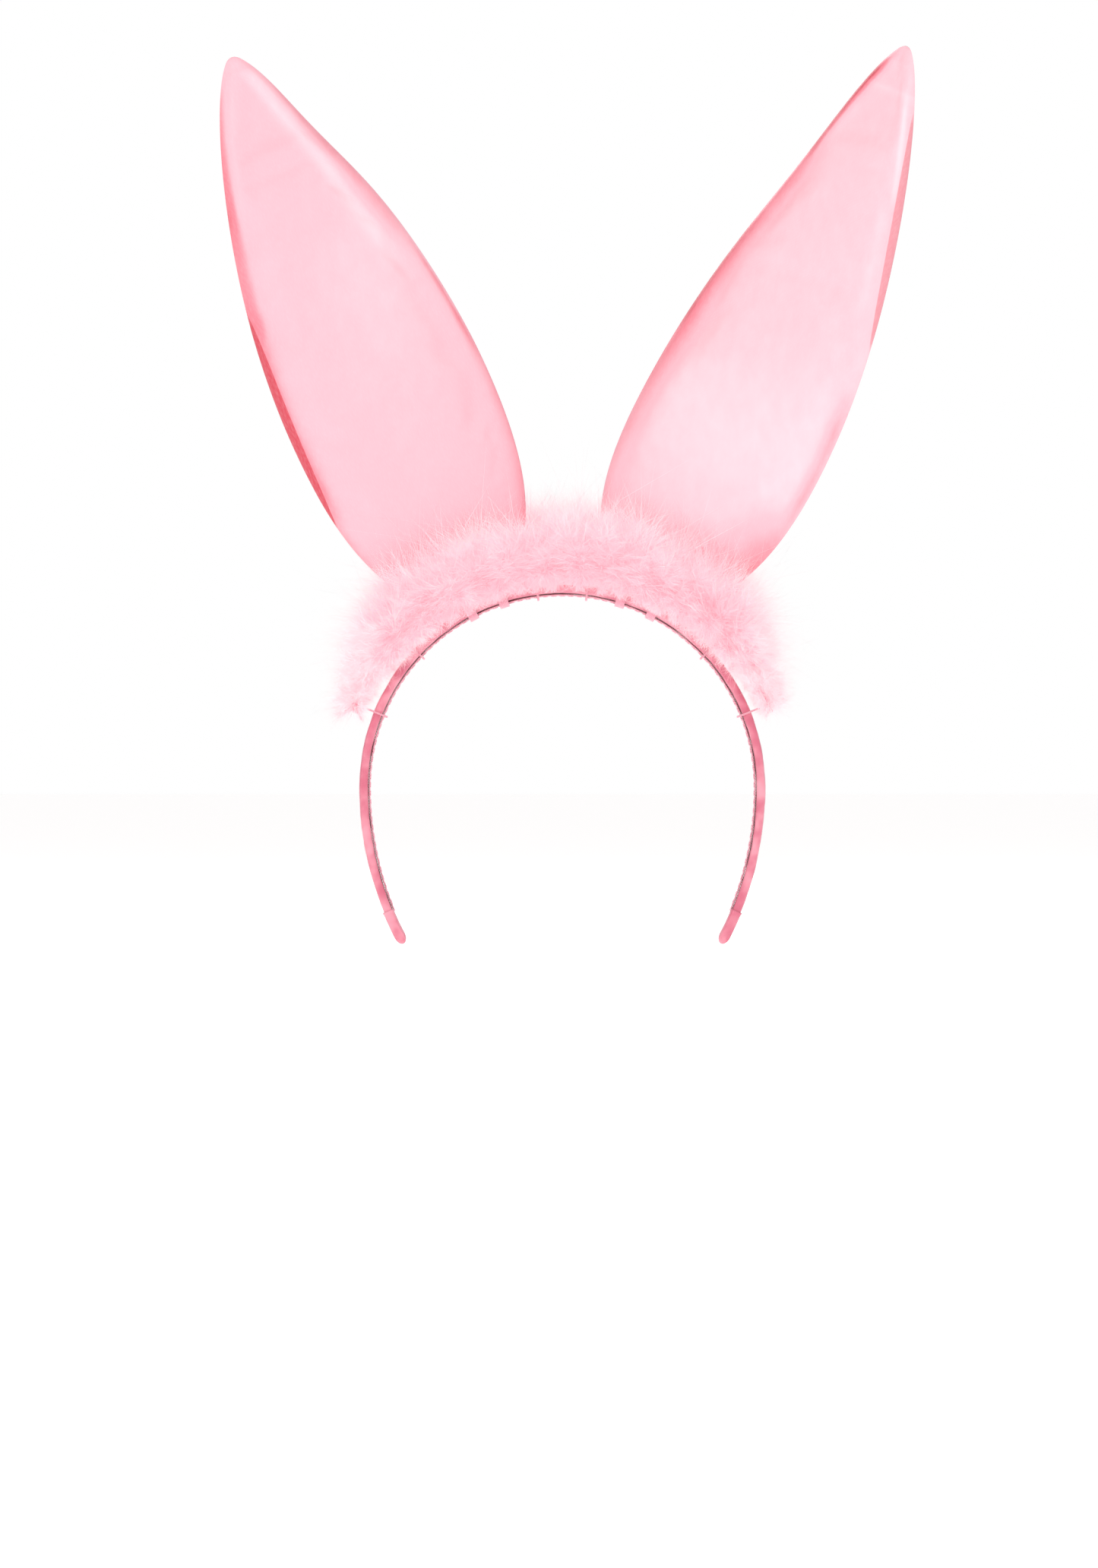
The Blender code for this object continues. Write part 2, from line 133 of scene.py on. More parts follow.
class Finish:
    """One material built on a Principled shader, with its nodes added by method."""

    def __init__(self, name, colour, roughness, **sockets):
        self.material = bpy.data.materials.new(name)
        self.material.use_nodes = True
        self.tree = self.material.node_tree
        self.shader = self.tree.nodes["Principled BSDF"]
        self.set("Base Color", colour)
        self.set("Roughness", roughness)
        for socket, value in sockets.items():
            self.set(socket.replace("_", " "), value)
        self.material.diffuse_color = (*colour[:3], 1)

    def feed(self, socket, value):
        if isinstance(value, Wire):
            self.tree.links.new(value.socket, socket)
        elif isinstance(value, tuple) and len(value) == 3 and socket.type == "RGBA":
            socket.default_value = (*value, 1)
        else:
            socket.default_value = value

    def set(self, socket, value):
        self.feed(self.shader.inputs[socket], value)

    def add(self, kind, settings, values, output=0):
        node = self.tree.nodes.new(kind)
        for key, value in settings.items():
            setattr(node, key, value)
        for key, value in values.items():
            self.feed(node.inputs[key], value)
        return Wire(self, node.outputs[output])

    def attribute(self, name):
        return self.add("ShaderNodeAttribute", {"attribute_name": name}, {}, "Fac")

    def step(self, value, low, high):
        """0 below low, 1 above high and a smooth step between."""
        values = {"Value": value, "From Min": low, "From Max": high}
        return self.add("ShaderNodeMapRange", {"interpolation_type": "SMOOTHSTEP"}, values)

    def mix(self, share, first, second):
        """The colour first where share is 0, second where it is 1."""
        return self.add("ShaderNodeMix", {"data_type": "RGBA"}, {0: share, 6: first, 7: second}, 2)

    def place(self, scale, turn=(0, 0, 0), uv=False):
        """Object coordinates in metres, or the piece's own flat cloth coordinates, scaled."""
        source = self.add("ShaderNodeTexCoord", {}, {}, "UV" if uv else "Object")
        values = {"Vector": source, "Scale": scale, "Rotation": turn}
        return self.add("ShaderNodeMapping", {}, values)

    def noise(self, vector, scale, detail=2.0, roughness=0.5):
        values = {"Vector": vector, "Scale": scale, "Detail": detail, "Roughness": roughness}
        return self.add("ShaderNodeTexNoise", {}, values, "Fac")

    def ribs(self, vector, scale, direction="X"):
        settings = {"wave_type": "BANDS", "bands_direction": direction, "wave_profile": "SIN"}
        return self.add("ShaderNodeTexWave", settings, {"Vector": vector, "Scale": scale}, "Fac")

    def bump(self, height, distance, strength=1.0):
        values = {"Height": height, "Distance": distance, "Strength": strength}
        self.set("Normal", self.add("ShaderNodeBump", {}, values))

# %% [markdown]
# ## Light and floor
#
# Catalogue light is nearly shadowless: a bright white surround, one large lamp behind the camera and
# a weaker one to its side, so that satin still shows which way it curves. The surround is white
# where the camera sees it and dimmer where it lights the headband, because a full white would wash
# the folds out. The floor is a plain pale sheet just under the two ends of the band.

# %% Light and floor
SURROUND_LIGHT = 0.58
FLOOR_GAP = 0.2 * MM
FLOOR_SIZE = 80.0

scene.view_settings.view_transform = "Standard"
world = bpy.data.worlds.new("surround")
world.use_nodes = True
scene.world = world
world_tree = world.node_tree
seen = world_tree.nodes["Background"]
seen.inputs["Color"].default_value = (1, 1, 1, 1)
lighting = world_tree.nodes.new("ShaderNodeBackground")
lighting.inputs["Color"].default_value = (1, 0.985, 0.98, 1)
lighting.inputs["Strength"].default_value = SURROUND_LIGHT
ray = world_tree.nodes.new("ShaderNodeLightPath")
switch = world_tree.nodes.new("ShaderNodeMixShader")
world_tree.links.new(ray.outputs["Is Camera Ray"], switch.inputs[0])
world_tree.links.new(lighting.outputs[0], switch.inputs[1])
world_tree.links.new(seen.outputs[0], switch.inputs[2])
world_tree.links.new(switch.outputs[0], world_tree.nodes["World Output"].inputs["Surface"])


def lamp(name, place, target, size, power):
    data = bpy.data.lights.new(name, "AREA")
    data.shape = "DISK"
    data.size = size
    data.energy = power
    piece = bpy.data.objects.new(name, data)
    piece.location = place
    piece.rotation_euler = (Vector(target) - Vector(place)).to_track_quat("-Z", "Y").to_euler()
    scene.collection.objects.link(piece)


LIT_POINT = (0, 0, 0.08)
lamp("key_lamp", (-0.9, 1.9, 1.7), LIT_POINT, 1.2, 19.0)
lamp("fill_lamp", (1.6, 1.5, 0.5), LIT_POINT, 1.4, 8.0)
lamp("front_lamp", (0.5, -1.8, 1.4), LIT_POINT, 1.4, 14.0)

paper = Finish("floor_paper", (0.93, 0.92, 0.92), 0.9)
paper.set("Emission Color", (1, 1, 1))
paper.set("Emission Strength", 0.45)
bm = bmesh.new()
bmesh.ops.create_grid(bm, x_segments=1, y_segments=1, size=FLOOR_SIZE / 2)
bmesh.ops.translate(bm, verts=bm.verts, vec=(0, 0, cad_low[2] - FLOOR_GAP))
floor_mesh = bpy.data.meshes.new("floor")
bm.to_mesh(floor_mesh)
bm.free()
floor = bpy.data.objects.new("floor", floor_mesh)
floor_mesh.materials.append(paper.material)
scene.collection.objects.link(floor)
print("floor at", round(cad_low[2] / MM, 1), "mm")

# %% [markdown]
# ## The band's own coordinates
#
# Everything on the band is easier to place by three distances: along the band from the crown,
# sideways across it, and out from the head. `on_band` turns such a place into a point. The curve is
# a half circle over the crown and then two arms that close in slightly. It works on whole arrays,
# because the marabou needs nearly a million points.

# %% Band coordinates
CROWN_RADIUS = 72 * MM
BAND_HEIGHT = 128 * MM
ARM_SPREAD = 58 * MM
ARM_DROP = BAND_HEIGHT - CROWN_RADIUS
ARM_ANGLE = 2 * math.atan((CROWN_RADIUS - ARM_SPREAD) / ARM_DROP)
ARM_RADIUS = ARM_DROP / math.sin(ARM_ANGLE)
QUARTER = CROWN_RADIUS * math.pi / 2
HALF_LENGTH = QUARTER + ARM_RADIUS * ARM_ANGLE


def on_band(along, side, out):
    """World points, as rows of x, y and z, for places on the band."""
    along, side, out = np.broadcast_arrays(*(np.asarray(v, float) for v in (along, side, out)))
    distance = np.abs(along)
    crown = distance / CROWN_RADIUS
    arm = (distance - QUARTER) / ARM_RADIUS
    over = distance <= QUARTER
    x_crown = (CROWN_RADIUS + out) * np.sin(crown)
    z_crown = (CROWN_RADIUS + out) * np.cos(crown) - CROWN_RADIUS
    x_arm = CROWN_RADIUS - ARM_RADIUS + (ARM_RADIUS + out) * np.cos(arm)
    z_arm = -(ARM_RADIUS + out) * np.sin(arm) - CROWN_RADIUS
    x = np.where(over, x_crown, x_arm) * np.sign(along + 1e-12)
    return np.stack([x, side, np.where(over, z_crown, z_arm)], axis=-1)


def tapered(widths, along):
    """A width that narrows smoothly from the crown to an arm's end."""
    share = np.clip(np.abs(along) / HALF_LENGTH, 0, 1)
    return widths[0] + (widths[1] - widths[0]) * share * share * (3 - 2 * share)


print("band length", round(2 * HALF_LENGTH / MM), "mm")

# %% [markdown]
# ## Turning a grid into cloth
#
# Most pieces here are thin cloth, and a flat grid with its corners numbered is the natural start: one
# operator makes it, and moving its points wraps it into a sleeve, a ribbon or an ear. `new_piece`
# keeps the places in the mesh, with the object itself at the origin.

# %% Pieces from bmesh


def show(mesh, finish):
    """One object at the origin, smooth shaded, with its finish."""
    mesh.shade_smooth()
    mesh.materials.append(finish.material)
    piece = bpy.data.objects.new(mesh.name, mesh)
    scene.collection.objects.link(piece)
    return piece


def new_piece(name, bm, finish):
    mesh = bpy.data.meshes.new(name)
    bm.to_mesh(mesh)
    bm.free()
    return show(mesh, finish)


def declare(piece, body, slot, *nodes):
    """Which body a piece rides on and the CAD nodes that it stands for. slot is not used."""
    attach(piece, body)
    if nodes:
        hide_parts(*nodes)


def close_up(bm, distance, picked=None):
    """Merges doubles, fills the open rims or the picked ones, and turns the faces outward."""
    bmesh.ops.remove_doubles(bm, verts=bm.verts, dist=distance)
    rims = [e for e in bm.edges if e.is_boundary and (picked is None or picked(e))]
    bmesh.ops.holes_fill(bm, edges=rims)
    bmesh.ops.recalc_face_normals(bm, faces=bm.faces)


def grid(columns, rows):
    """A grid whose points run from 0 to 1 both ways, and those points as an array."""
    bm = bmesh.new()
    bmesh.ops.create_grid(bm, x_segments=columns, y_segments=rows, size=0.5)
    bmesh.ops.translate(bm, verts=bm.verts, vec=(0.5, 0.5, 0))
    return bm, np.array([v.co[:2] for v in bm.verts])


def move_to(bm, points):
    for vertex, point in zip(bm.verts, points, strict=True):
        vertex.co = point


def wavy(points, scale, seed):
    """Smooth noise from -1 to 1 at each point, the same each run."""
    shift = Vector((seed * 7.3, seed * 3.1, seed * 5.7))
    return np.array([noise.noise(Vector(p) * scale + shift) for p in points])


SECTION_POWER = 0.45  # squarer than an ellipse, which is 1


def section(around, half_width, low, high):
    """(side, out) round a strip's rounded section, as around goes from 0 to 1."""
    angle = 2 * math.pi * around
    c, s = np.cos(angle), np.sin(angle)
    side = np.sign(c) * np.abs(c) ** SECTION_POWER * half_width
    out = (low + high) / 2 + np.sign(s) * np.abs(s) ** SECTION_POWER * (high - low) / 2
    return side, out

# %% [markdown]
# ## Finishes
#
# Satin is a smooth weave with long floats, so its threads hardly show, but it has a soft directional
# sheen and faint slubs along the weft. Ribbon is ribbed across. Thread, tape and string are matt.
# Each finish below is one short function, and what is even over the whole surface is set on the
# shader itself.

# %% Satin of the ears
# The ears' colours. PALE_PINK is also the painted highlight, and the two roses are painted shade where
# the satin turns away.
PALE_PINK = (1.0, 0.73, 0.79)
EAR_PINK = (0.985, 0.505, 0.578)
SHADE_ROSE = (0.90, 0.245, 0.305)
DEEP_SHADE_ROSE = (0.66, 0.062, 0.092)


def weave(finish, vector, threads, slub):
    """The height of a satin weave: fine diagonal floats and long uneven weft threads."""
    fine = finish.ribs(vector, threads, "DIAGONAL")
    streak = finish.noise(slub, 1.0, 3.0, 0.6)
    return fine * 0.25 + streak


def ear_satin():
    """tone is painted shade and highlight, from -1, pale, to 1, deep rose. turn is how far past the sewn
    edge a point is; that turned strip is painted in shade.
    """
    satin = Finish(
        "ear_satin", EAR_PINK, 0.42, Sheen_Weight=0.08, Sheen_Roughness=0.4, Anisotropic=0.35,
        Specular_IOR_Level=0.32,
    )
    satin.set("Sheen Tint", (1.0, 0.72, 0.78))
    tone = satin.attribute("tone")
    turn = satin.attribute("turn")
    # The two noises add soft drifts of painted shade and the painted shade of fine wrinkles.
    cloudy = satin.noise(satin.place((1, 1, 1)), 26.0, 3.0)
    painted_wrinkle_shade = satin.noise(satin.place((1, 1, 0.55)), 210.0, 4.0)
    shade = tone + (cloudy - 0.5) * 0.16 + (painted_wrinkle_shade - 0.5) * 0.30
    colour = satin.mix(satin.step(shade, -1.0, 0.0), PALE_PINK, EAR_PINK)
    colour = satin.mix(satin.step(shade, 0.0, 1.0), colour, SHADE_ROSE)
    colour = satin.mix(satin.step(shade, 1.0, 2.0), colour, DEEP_SHADE_ROSE)
    # The strip turned past the seam is painted in deep rose shade.
    turned = satin.step(turn, -0.1, 0.1)
    colour = satin.mix(turned * satin.attribute("turn_depth"), colour, DEEP_SHADE_ROSE)
    flat = satin.place((1, 1, 1), uv=True)
    slub = satin.place((900, 90, 900), uv=True)
    height = weave(satin, flat, 420.0, slub)
    threads = satin.noise(satin.place((2600, 420, 2600), uv=True), 1.0, 1.0)
    colour = satin.mix(satin.step(threads, 0.35, 0.75) * 0.10, colour, PALE_PINK)
    satin.set("Base Color", colour)
    satin.set("Roughness", 0.38 + threads * 0.12)
    satin.bump(height, 0.06 * MM, 0.5)
    return satin


EAR_SATIN = ear_satin()
print("ear satin nodes:", len(EAR_SATIN.tree.nodes))

# %% Satin of the band
BAND_ROSE = (0.90, 0.36, 0.44)
BAND_CREASE_SHADE = (0.70, 0.16, 0.24)


def band_satin():
    satin = Finish(
        "band_satin", BAND_ROSE, 0.36, Sheen_Weight=0.3, Sheen_Roughness=0.35, Anisotropic=0.4,
        Specular_IOR_Level=0.45,
    )
    body = satin.place((1, 1, 1))
    # Painted shade: darker patches of noise stand in for the shade of creases.
    crease = satin.noise(body, 120.0, 2.0)
    colour = satin.mix(satin.step(crease, 0.35, 0.75), BAND_CREASE_SHADE, BAND_ROSE)
    satin.set("Base Color", colour)
    height = weave(satin, body, 900.0, satin.place((300, 2400, 300)))
    satin.bump(height, 0.05 * MM, 0.5)
    return satin


BAND_SATIN = band_satin()

# %% Ribbon, thread, tape and string


def ribbon_finish():
    ribbon = Finish("ribbed_ribbon", (0.88, 0.42, 0.50), 0.62, Sheen_Weight=0.2)
    speck = ribbon.noise(ribbon.place((1, 1, 1)), 700.0, 2.0)
    colour = ribbon.mix(speck, (0.80, 0.32, 0.40), (0.96, 0.52, 0.60))
    ribbon.set("Base Color", colour)
    ribbon.bump(speck, 0.05 * MM, 0.6)
    return ribbon


def twisted_finish(name, dark, light, roughness, scale):
    """Spun fibre: short hairs across a slightly uneven colour."""
    fibre = Finish(name, light, roughness, Sheen_Weight=0.35, Specular_IOR_Level=0.2)
    hairs = fibre.noise(fibre.place((1, 1, 1)), scale, 4.0, 0.7)
    fibre.set("Base Color", fibre.mix(fibre.step(hairs, 0.3, 0.7), dark, light))
    fibre.bump(hairs, 0.08 * MM, 0.7)
    return fibre


def wire_finish():
    steel = Finish("drawn_steel", (0.60, 0.60, 0.63), 0.3, Metallic=1.0)
    drawn = steel.noise(steel.place((900, 3000, 900)), 1.0, 2.0)
    steel.set("Base Color", steel.mix(drawn, (0.46, 0.46, 0.50), (0.72, 0.72, 0.74)))
    steel.set("Roughness", 0.22 + drawn * 0.2)
    return steel


def plastic_finish():
    plastic = Finish("band_plastic", (0.82, 0.76, 0.76), 0.45)
    grain = plastic.noise(plastic.place((1, 1, 1)), 500.0, 2.0)
    plastic.set("Base Color", plastic.mix(grain, (0.78, 0.71, 0.71), (0.86, 0.81, 0.80)))
    plastic.bump(grain, 0.03 * MM, 0.4)
    return plastic


RIBBON = ribbon_finish()
THREAD = twisted_finish("pink_thread", (0.82, 0.34, 0.43), (0.95, 0.55, 0.63), 0.6, 2600.0)
TAPE = twisted_finish("stem_tape", (0.86, 0.42, 0.50), (0.96, 0.60, 0.67), 0.7, 900.0)
STRING = twisted_finish("boa_string", (0.93, 0.62, 0.68), (0.99, 0.80, 0.84), 0.85, 1500.0)
WADDING = twisted_finish("white_wadding", (0.86, 0.84, 0.83), (0.97, 0.96, 0.95), 0.95, 300.0)
STEEL = wire_finish()
PLASTIC = plastic_finish()


def refinish(node, finish):
    for material_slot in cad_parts[node].material_slots:
        material_slot.material = finish.material

# %% [markdown]
# ## The satin sleeve
#
# The plastic band inside is covered by a strip of satin sewn into a narrow tube and pulled over it.
# A tube pulled over a curve is never quite smooth: it shows short slanting creases where the cloth is
# tighter on the head side. One grid, wrapped round the band's section and run along it, gives the
# sleeve, low noise gives the creases, and a Solidify modifier gives the cloth its thickness.

# %% Sleeve
SATIN_THICKNESS = 0.4 * MM
SLEEVE_LOW = 0.9 * MM
SLEEVE_HIGH = 4.3 * MM
SLEEVE_HALF_WIDTHS = (7.6 * MM, 4.9 * MM)
TIP_LENGTH = 12 * MM
SLEEVE_CREASE = 0.22 * MM
FACE_CREASE = 0.1 * MM  # the most that a crease stands proud on the flat faces
SLEEVE_PAST_CAP = 1.5 * MM  # how far the sleeve runs into the folded ends
SLEEVE_STEPS = 420
AROUND_STEPS = 32


def thicken(piece, thickness):
    """Real thickness for cloth made as one surface, added on its inner side."""
    wall = piece.modifiers.new("thickness", "SOLIDIFY")
    wall.thickness = thickness
    wall.offset = -1
    wall.use_even_offset = False


def make_sleeve():
    bm, place = grid(SLEEVE_STEPS, AROUND_STEPS)
    reach = HALF_LENGTH - TIP_LENGTH + SLEEVE_PAST_CAP
    along = (place[:, 0] * 2 - 1) * reach
    half = tapered(SLEEVE_HALF_WIDTHS, along)
    side, out = section(place[:, 1], half, SLEEVE_LOW, SLEEVE_HIGH)
    folds = wavy(np.stack([along + side * 0.8, side * 0.35, out], 1), 210.0, 1)
    fine = wavy(np.stack([along + side * 0.5, side, out], 1), 620.0, 2)
    grow = SLEEVE_CREASE * (folds * 0.7 + fine * 0.3)
    middle = (SLEEVE_LOW + SLEEVE_HIGH) / 2
    out_way = np.sign(out - middle) * np.clip(np.abs(out - middle) / (0.6 * MM), 0, 1)
    side_way = np.clip(side / half, -1, 1)
    out = out + out_way * np.minimum(grow, FACE_CREASE)
    move_to(bm, on_band(along, side + side_way * grow, out))
    bmesh.ops.remove_doubles(bm, verts=bm.verts, dist=0.02 * MM)
    bmesh.ops.recalc_face_normals(bm, faces=bm.faces)
    piece = new_piece("band_satin_sleeve", bm, BAND_SATIN)
    thicken(piece, SATIN_THICKNESS)
    declare(piece, "headband", "band_satin", "satin_sleeve")
    2 * reach
    return piece


sleeve = make_sleeve()
print("sleeve points:", len(sleeve.data.vertices))

# %% [markdown]
# ## The ribbon under it
#
# A ribbed ribbon lines the head side, so that hair doesn't slip, and it is sewn down along both
# edges. The ribs run across it, closer than one millimetre, and they are real ridges here: the grid
# has four steps to a rib. The stitches are separate pieces of thread, each a short capsule that
# dives into the ribbon at both ends.

# %% Ribbon and its stitches
RIBBON_HALF_WIDTHS = (5.0 * MM, 3.4 * MM)
RIBBON_GAP = 0.1 * MM  # the glued ribbon lies almost against the sleeve
RIB_PITCH = 1.0 * MM
RIB_HEIGHT = 0.07 * MM
STITCH_PITCH = 3.2 * MM
STITCH_LENGTH = 2.3 * MM
STITCH_RADIUS = 0.16 * MM
STITCH_INSET = 0.8 * MM
STITCH_DEPTH = 0.10 * MM
RIBBON_LOW = 0.06 * MM
RIBBON_PAST_CAP = 1.0 * MM
STEPS_PER_RIB = 4


def make_ribbon():
    reach = HALF_LENGTH - TIP_LENGTH + RIBBON_PAST_CAP
    ribs = round(2 * reach / RIB_PITCH)
    bm, place = grid(ribs * STEPS_PER_RIB, 16)
    along = (place[:, 0] * 2 - 1) * reach
    half = tapered(RIBBON_HALF_WIDTHS, along)
    high = SLEEVE_LOW - RIBBON_GAP
    side, out = section(place[:, 1], half, RIBBON_LOW, high)
    rib = np.cos(2 * math.pi * along / RIB_PITCH) * RIB_HEIGHT
    face = np.where(out < (RIBBON_LOW + high) / 2, -1, 1)
    out = np.clip(out + face * (rib - RIB_HEIGHT), 0, high)
    move_to(bm, on_band(along, side, out))
    close_up(bm, MERGE)
    piece = new_piece("grosgrain_ribbon", bm, RIBBON)
    declare(piece, "headband", "ribbon", "ribbon_lining")
    area = 2 * reach * sum(RIBBON_HALF_WIDTHS)
    2 * reach
    return piece


def as_arrays(bm):
    """The points and triangles of a small shape that is going to be copied."""
    bm.verts.index_update()
    points = np.array([v.co[:] for v in bm.verts])
    faces = np.array([[v.index for v in f.verts] for f in bm.faces])
    bm.free()
    return points, faces


def capsule_arrays(length, radius):
    """One stitch: a low round bead stretched along X."""
    bm = bmesh.new()
    bmesh.ops.create_icosphere(bm, subdivisions=1, radius=1)
    bmesh.ops.scale(bm, verts=bm.verts, vec=(length / 2, radius, radius))
    return as_arrays(bm)


def mesh_of_copies(name, points, faces, finish):
    """One mesh from many copies: points is copies x points x 3, faces the triangles of one copy."""
    copies, each = points.shape[:2]
    corners = (faces[None] + np.arange(copies)[:, None, None] * each).reshape(-1)
    triangles = len(corners) // 3
    mesh = bpy.data.meshes.new(name)
    mesh.vertices.add(copies * each)
    mesh.vertices.foreach_set("co", points.reshape(-1).astype(np.float32))
    mesh.loops.add(len(corners))
    mesh.loops.foreach_set("vertex_index", corners.astype(np.int32))
    mesh.polygons.add(triangles)
    mesh.polygons.foreach_set("loop_start", np.arange(0, len(corners), 3, dtype=np.int32))
    mesh.update(calc_edges=True)
    mesh.validate()
    return show(mesh, finish)


def make_ribbon_stitches():
    shape, faces = capsule_arrays(STITCH_LENGTH, STITCH_RADIUS)
    count = int(2 * (HALF_LENGTH - TIP_LENGTH) / STITCH_PITCH)
    middles = (np.arange(count) - (count - 1) / 2) * STITCH_PITCH
    rows = []
    for sign in (-1, 1):
        edge = sign * (tapered(RIBBON_HALF_WIDTHS, middles) - STITCH_INSET)
        along = middles[:, None] + shape[None, :, 0]
        side = edge[:, None] + shape[None, :, 1]
        out = np.maximum(STITCH_DEPTH + shape[None, :, 2], 0)
        rows.append(on_band(along, side, out))
    piece = mesh_of_copies("ribbon_stitches", np.concatenate(rows), faces, THREAD)
    declare(piece, "headband", "thread")
    return piece


ribbon = make_ribbon()
ribbon_stitches = make_ribbon_stitches()
print("ribbon points:", len(ribbon.data.vertices), "stitches:", len(ribbon_stitches.data.vertices) // 12)

# %% [markdown]
# ## Folded ends
#
# At each end the satin is folded over the plastic and gathered into a small cap. A grid wraps round
# the end and draws in to a point under it, and shallow pleats run out from that point.

# %% End caps
TIP_BULGE = 0.35 * MM
TIP_PLEATS = 9
TIP_END = 1.5 * MM
CAP_OVERLAP = 0.3 * MM
CAP_STRAIGHT = 0.7  # share of the cap before it curls round the end
CAP_CURL = 2 * MM
CAP_HEM = 0.25 * MM
CAP_THICKNESS = 0.5 * MM
PLEAT_SHARE = 0.1


def make_end_cap(side_name, sign):
    bm, place = grid(30, 54)
    share = place[:, 0]
    start = HALF_LENGTH - TIP_LENGTH + CAP_OVERLAP
    straight = np.clip(share / CAP_STRAIGHT, 0, 1) * (HALF_LENGTH - CAP_CURL - start)
    curl = np.clip((share - CAP_STRAIGHT) / (1 - CAP_STRAIGHT), 0, 1) * math.pi / 2
    along = start + straight + np.sin(curl) * (CAP_CURL + TIP_END)
    draw = np.maximum(np.cos(curl), 0.02)
    hem = CAP_HEM * np.exp(-((share / 0.05) ** 2))
    half = tapered(SLEEVE_HALF_WIDTHS, along) + TIP_BULGE + hem
    low = SLEEVE_LOW - TIP_BULGE - hem
    high = SLEEVE_HIGH + TIP_BULGE + hem
    side, out = section(place[:, 1], half, low, high)
    fold = np.sin(2 * math.pi * TIP_PLEATS * place[:, 1])
    pleat = 1 + PLEAT_SHARE * fold * np.clip(share - CAP_STRAIGHT / 2, 0, 1)
    middle = (low + high) / 2
    side = side * draw * pleat
    out = middle + (out - middle) * draw * pleat
    move_to(bm, on_band(sign * along, side, out))
    close_up(bm, 3 * MERGE, lambda edge: edge.verts[0].co.z < cad_low[2] + 3 * MM)
    piece = new_piece(f"{side_name}_end_cap", bm, BAND_SATIN)
    thicken(piece, CAP_THICKNESS)
    declare(piece, "headband", "band_satin", f"{side_name}_end_tip")
    print(piece.name, len(piece.data.vertices))


for side_name, sign in SIDES.items():
    make_end_cap(side_name, sign)

# %% [markdown]
# ## Threads and strings
#
# Sewing thread and string are plies twisted round each other. A closed or open line is followed by
# two or three thin tubes that wind round it, which is a helix carried along a path. `spun` makes
# that for any line: the boa strings, the loops that tie them down, and the lashings of the ears.

# %% Spun strands


def frames_along(points, closed):
    """Unit directions along a line of points, and two more across it that don't spin."""
    ahead = np.roll(points, -1, 0) - np.roll(points, 1, 0)
    if not closed:
        ahead[0] = points[1] - points[0]
        ahead[-1] = points[-1] - points[-2]
    ahead /= np.linalg.norm(ahead, axis=1, keepdims=True)
    first = np.cross(ahead[0], (0.3, 0.9, 0.2))
    across = []
    last = first / np.linalg.norm(first)
    for way in ahead:
        last = last - way * last.dot(way)
        last = last / np.linalg.norm(last)
        across.append(last)
    across = np.array(across)
    return ahead, across, np.cross(ahead, across)


def evenly(points, count, closed):
    """The same line with count evenly spaced points."""
    line = np.vstack([points, points[:1]]) if closed else points
    steps = np.linalg.norm(np.diff(line, axis=0), axis=1)
    where = np.concatenate([[0], np.cumsum(steps)])
    at = np.linspace(0, where[-1], count, endpoint=not closed)
    return np.stack([np.interp(at, where, line[:, k]) for k in range(3)], 1), where[-1]


def strand(bm, points, radius, sides, closed):
    """A round tube through the points, skinned ring by ring from one circle."""
    _, across, up = frames_along(points, closed)
    angles = 2 * math.pi * np.arange(sides) / sides
    rings = []
    for centre, a, b in zip(points, across, up, strict=True):
        ring = [bm.verts.new(centre + radius * (math.cos(t) * a + math.sin(t) * b)) for t in angles]
        rings.append(ring)
    pairs = list(zip(rings, rings[1:], strict=False))
    if closed:
        pairs.append((rings[-1], rings[0]))
    for near, far in pairs:
        for i in range(sides):
            bm.faces.new((near[i - 1], near[i], far[i], far[i - 1]))
    if not closed:
        bm.faces.new(rings[0])
        bm.faces.new(rings[-1])


def spun(name, points, radius, plies, pitch, finish, closed=False, sides=6, detail=9):
    """Plies wound round a line, together as thick as radius."""
    line, length = evenly(np.asarray(points), 4, closed)
    turns = max(1, round(length / pitch))
    line, _ = evenly(np.asarray(points), turns * detail, closed)
    _, across, up = frames_along(line, closed)
    ply = radius / (1 + 1 / math.sin(math.pi / plies)) if plies > 1 else radius
    offset = radius - ply
    bm = bmesh.new()
    span = len(line) if closed else len(line) - 1
    turn = 2 * math.pi * turns * np.arange(len(line)) / span
    for number in range(plies):
        angle = turn + 2 * math.pi * number / plies
        swing = np.cos(angle)[:, None] * across + np.sin(angle)[:, None] * up
        strand(bm, line + swing * offset, ply * 1.06, sides, closed)
    bmesh.ops.recalc_face_normals(bm, faces=bm.faces)
    return new_piece(name, bm, finish)


# %% Boa strings
STRING_SIDE = 7.5 * MM
STRING_OUT = 11 * MM
STRING_RADIUS = 1.1 * MM
STRING_REACH = math.radians(70)
ROWS = {"front": -1, "back": 1}

for row, sign in ROWS.items():
    reach = STRING_REACH * CROWN_RADIUS
    line = on_band(np.linspace(-reach, reach, 120), sign * STRING_SIDE, STRING_OUT)
    string = spun(f"{row}_spun_string", line, STRING_RADIUS, 3, 4.2 * MM, STRING)
    declare(string, "headband", "boa_string", f"{row}_boa_string")
    print(string.name, len(string.data.vertices))

# %% Binding loops
THREAD_RADIUS = 0.4 * MM
BINDING_ANGLES = (7.25, 47.0, 68.0)
LOOP_GAP = 0.3 * MM
LOOP_UNDER = 0.36 * MM


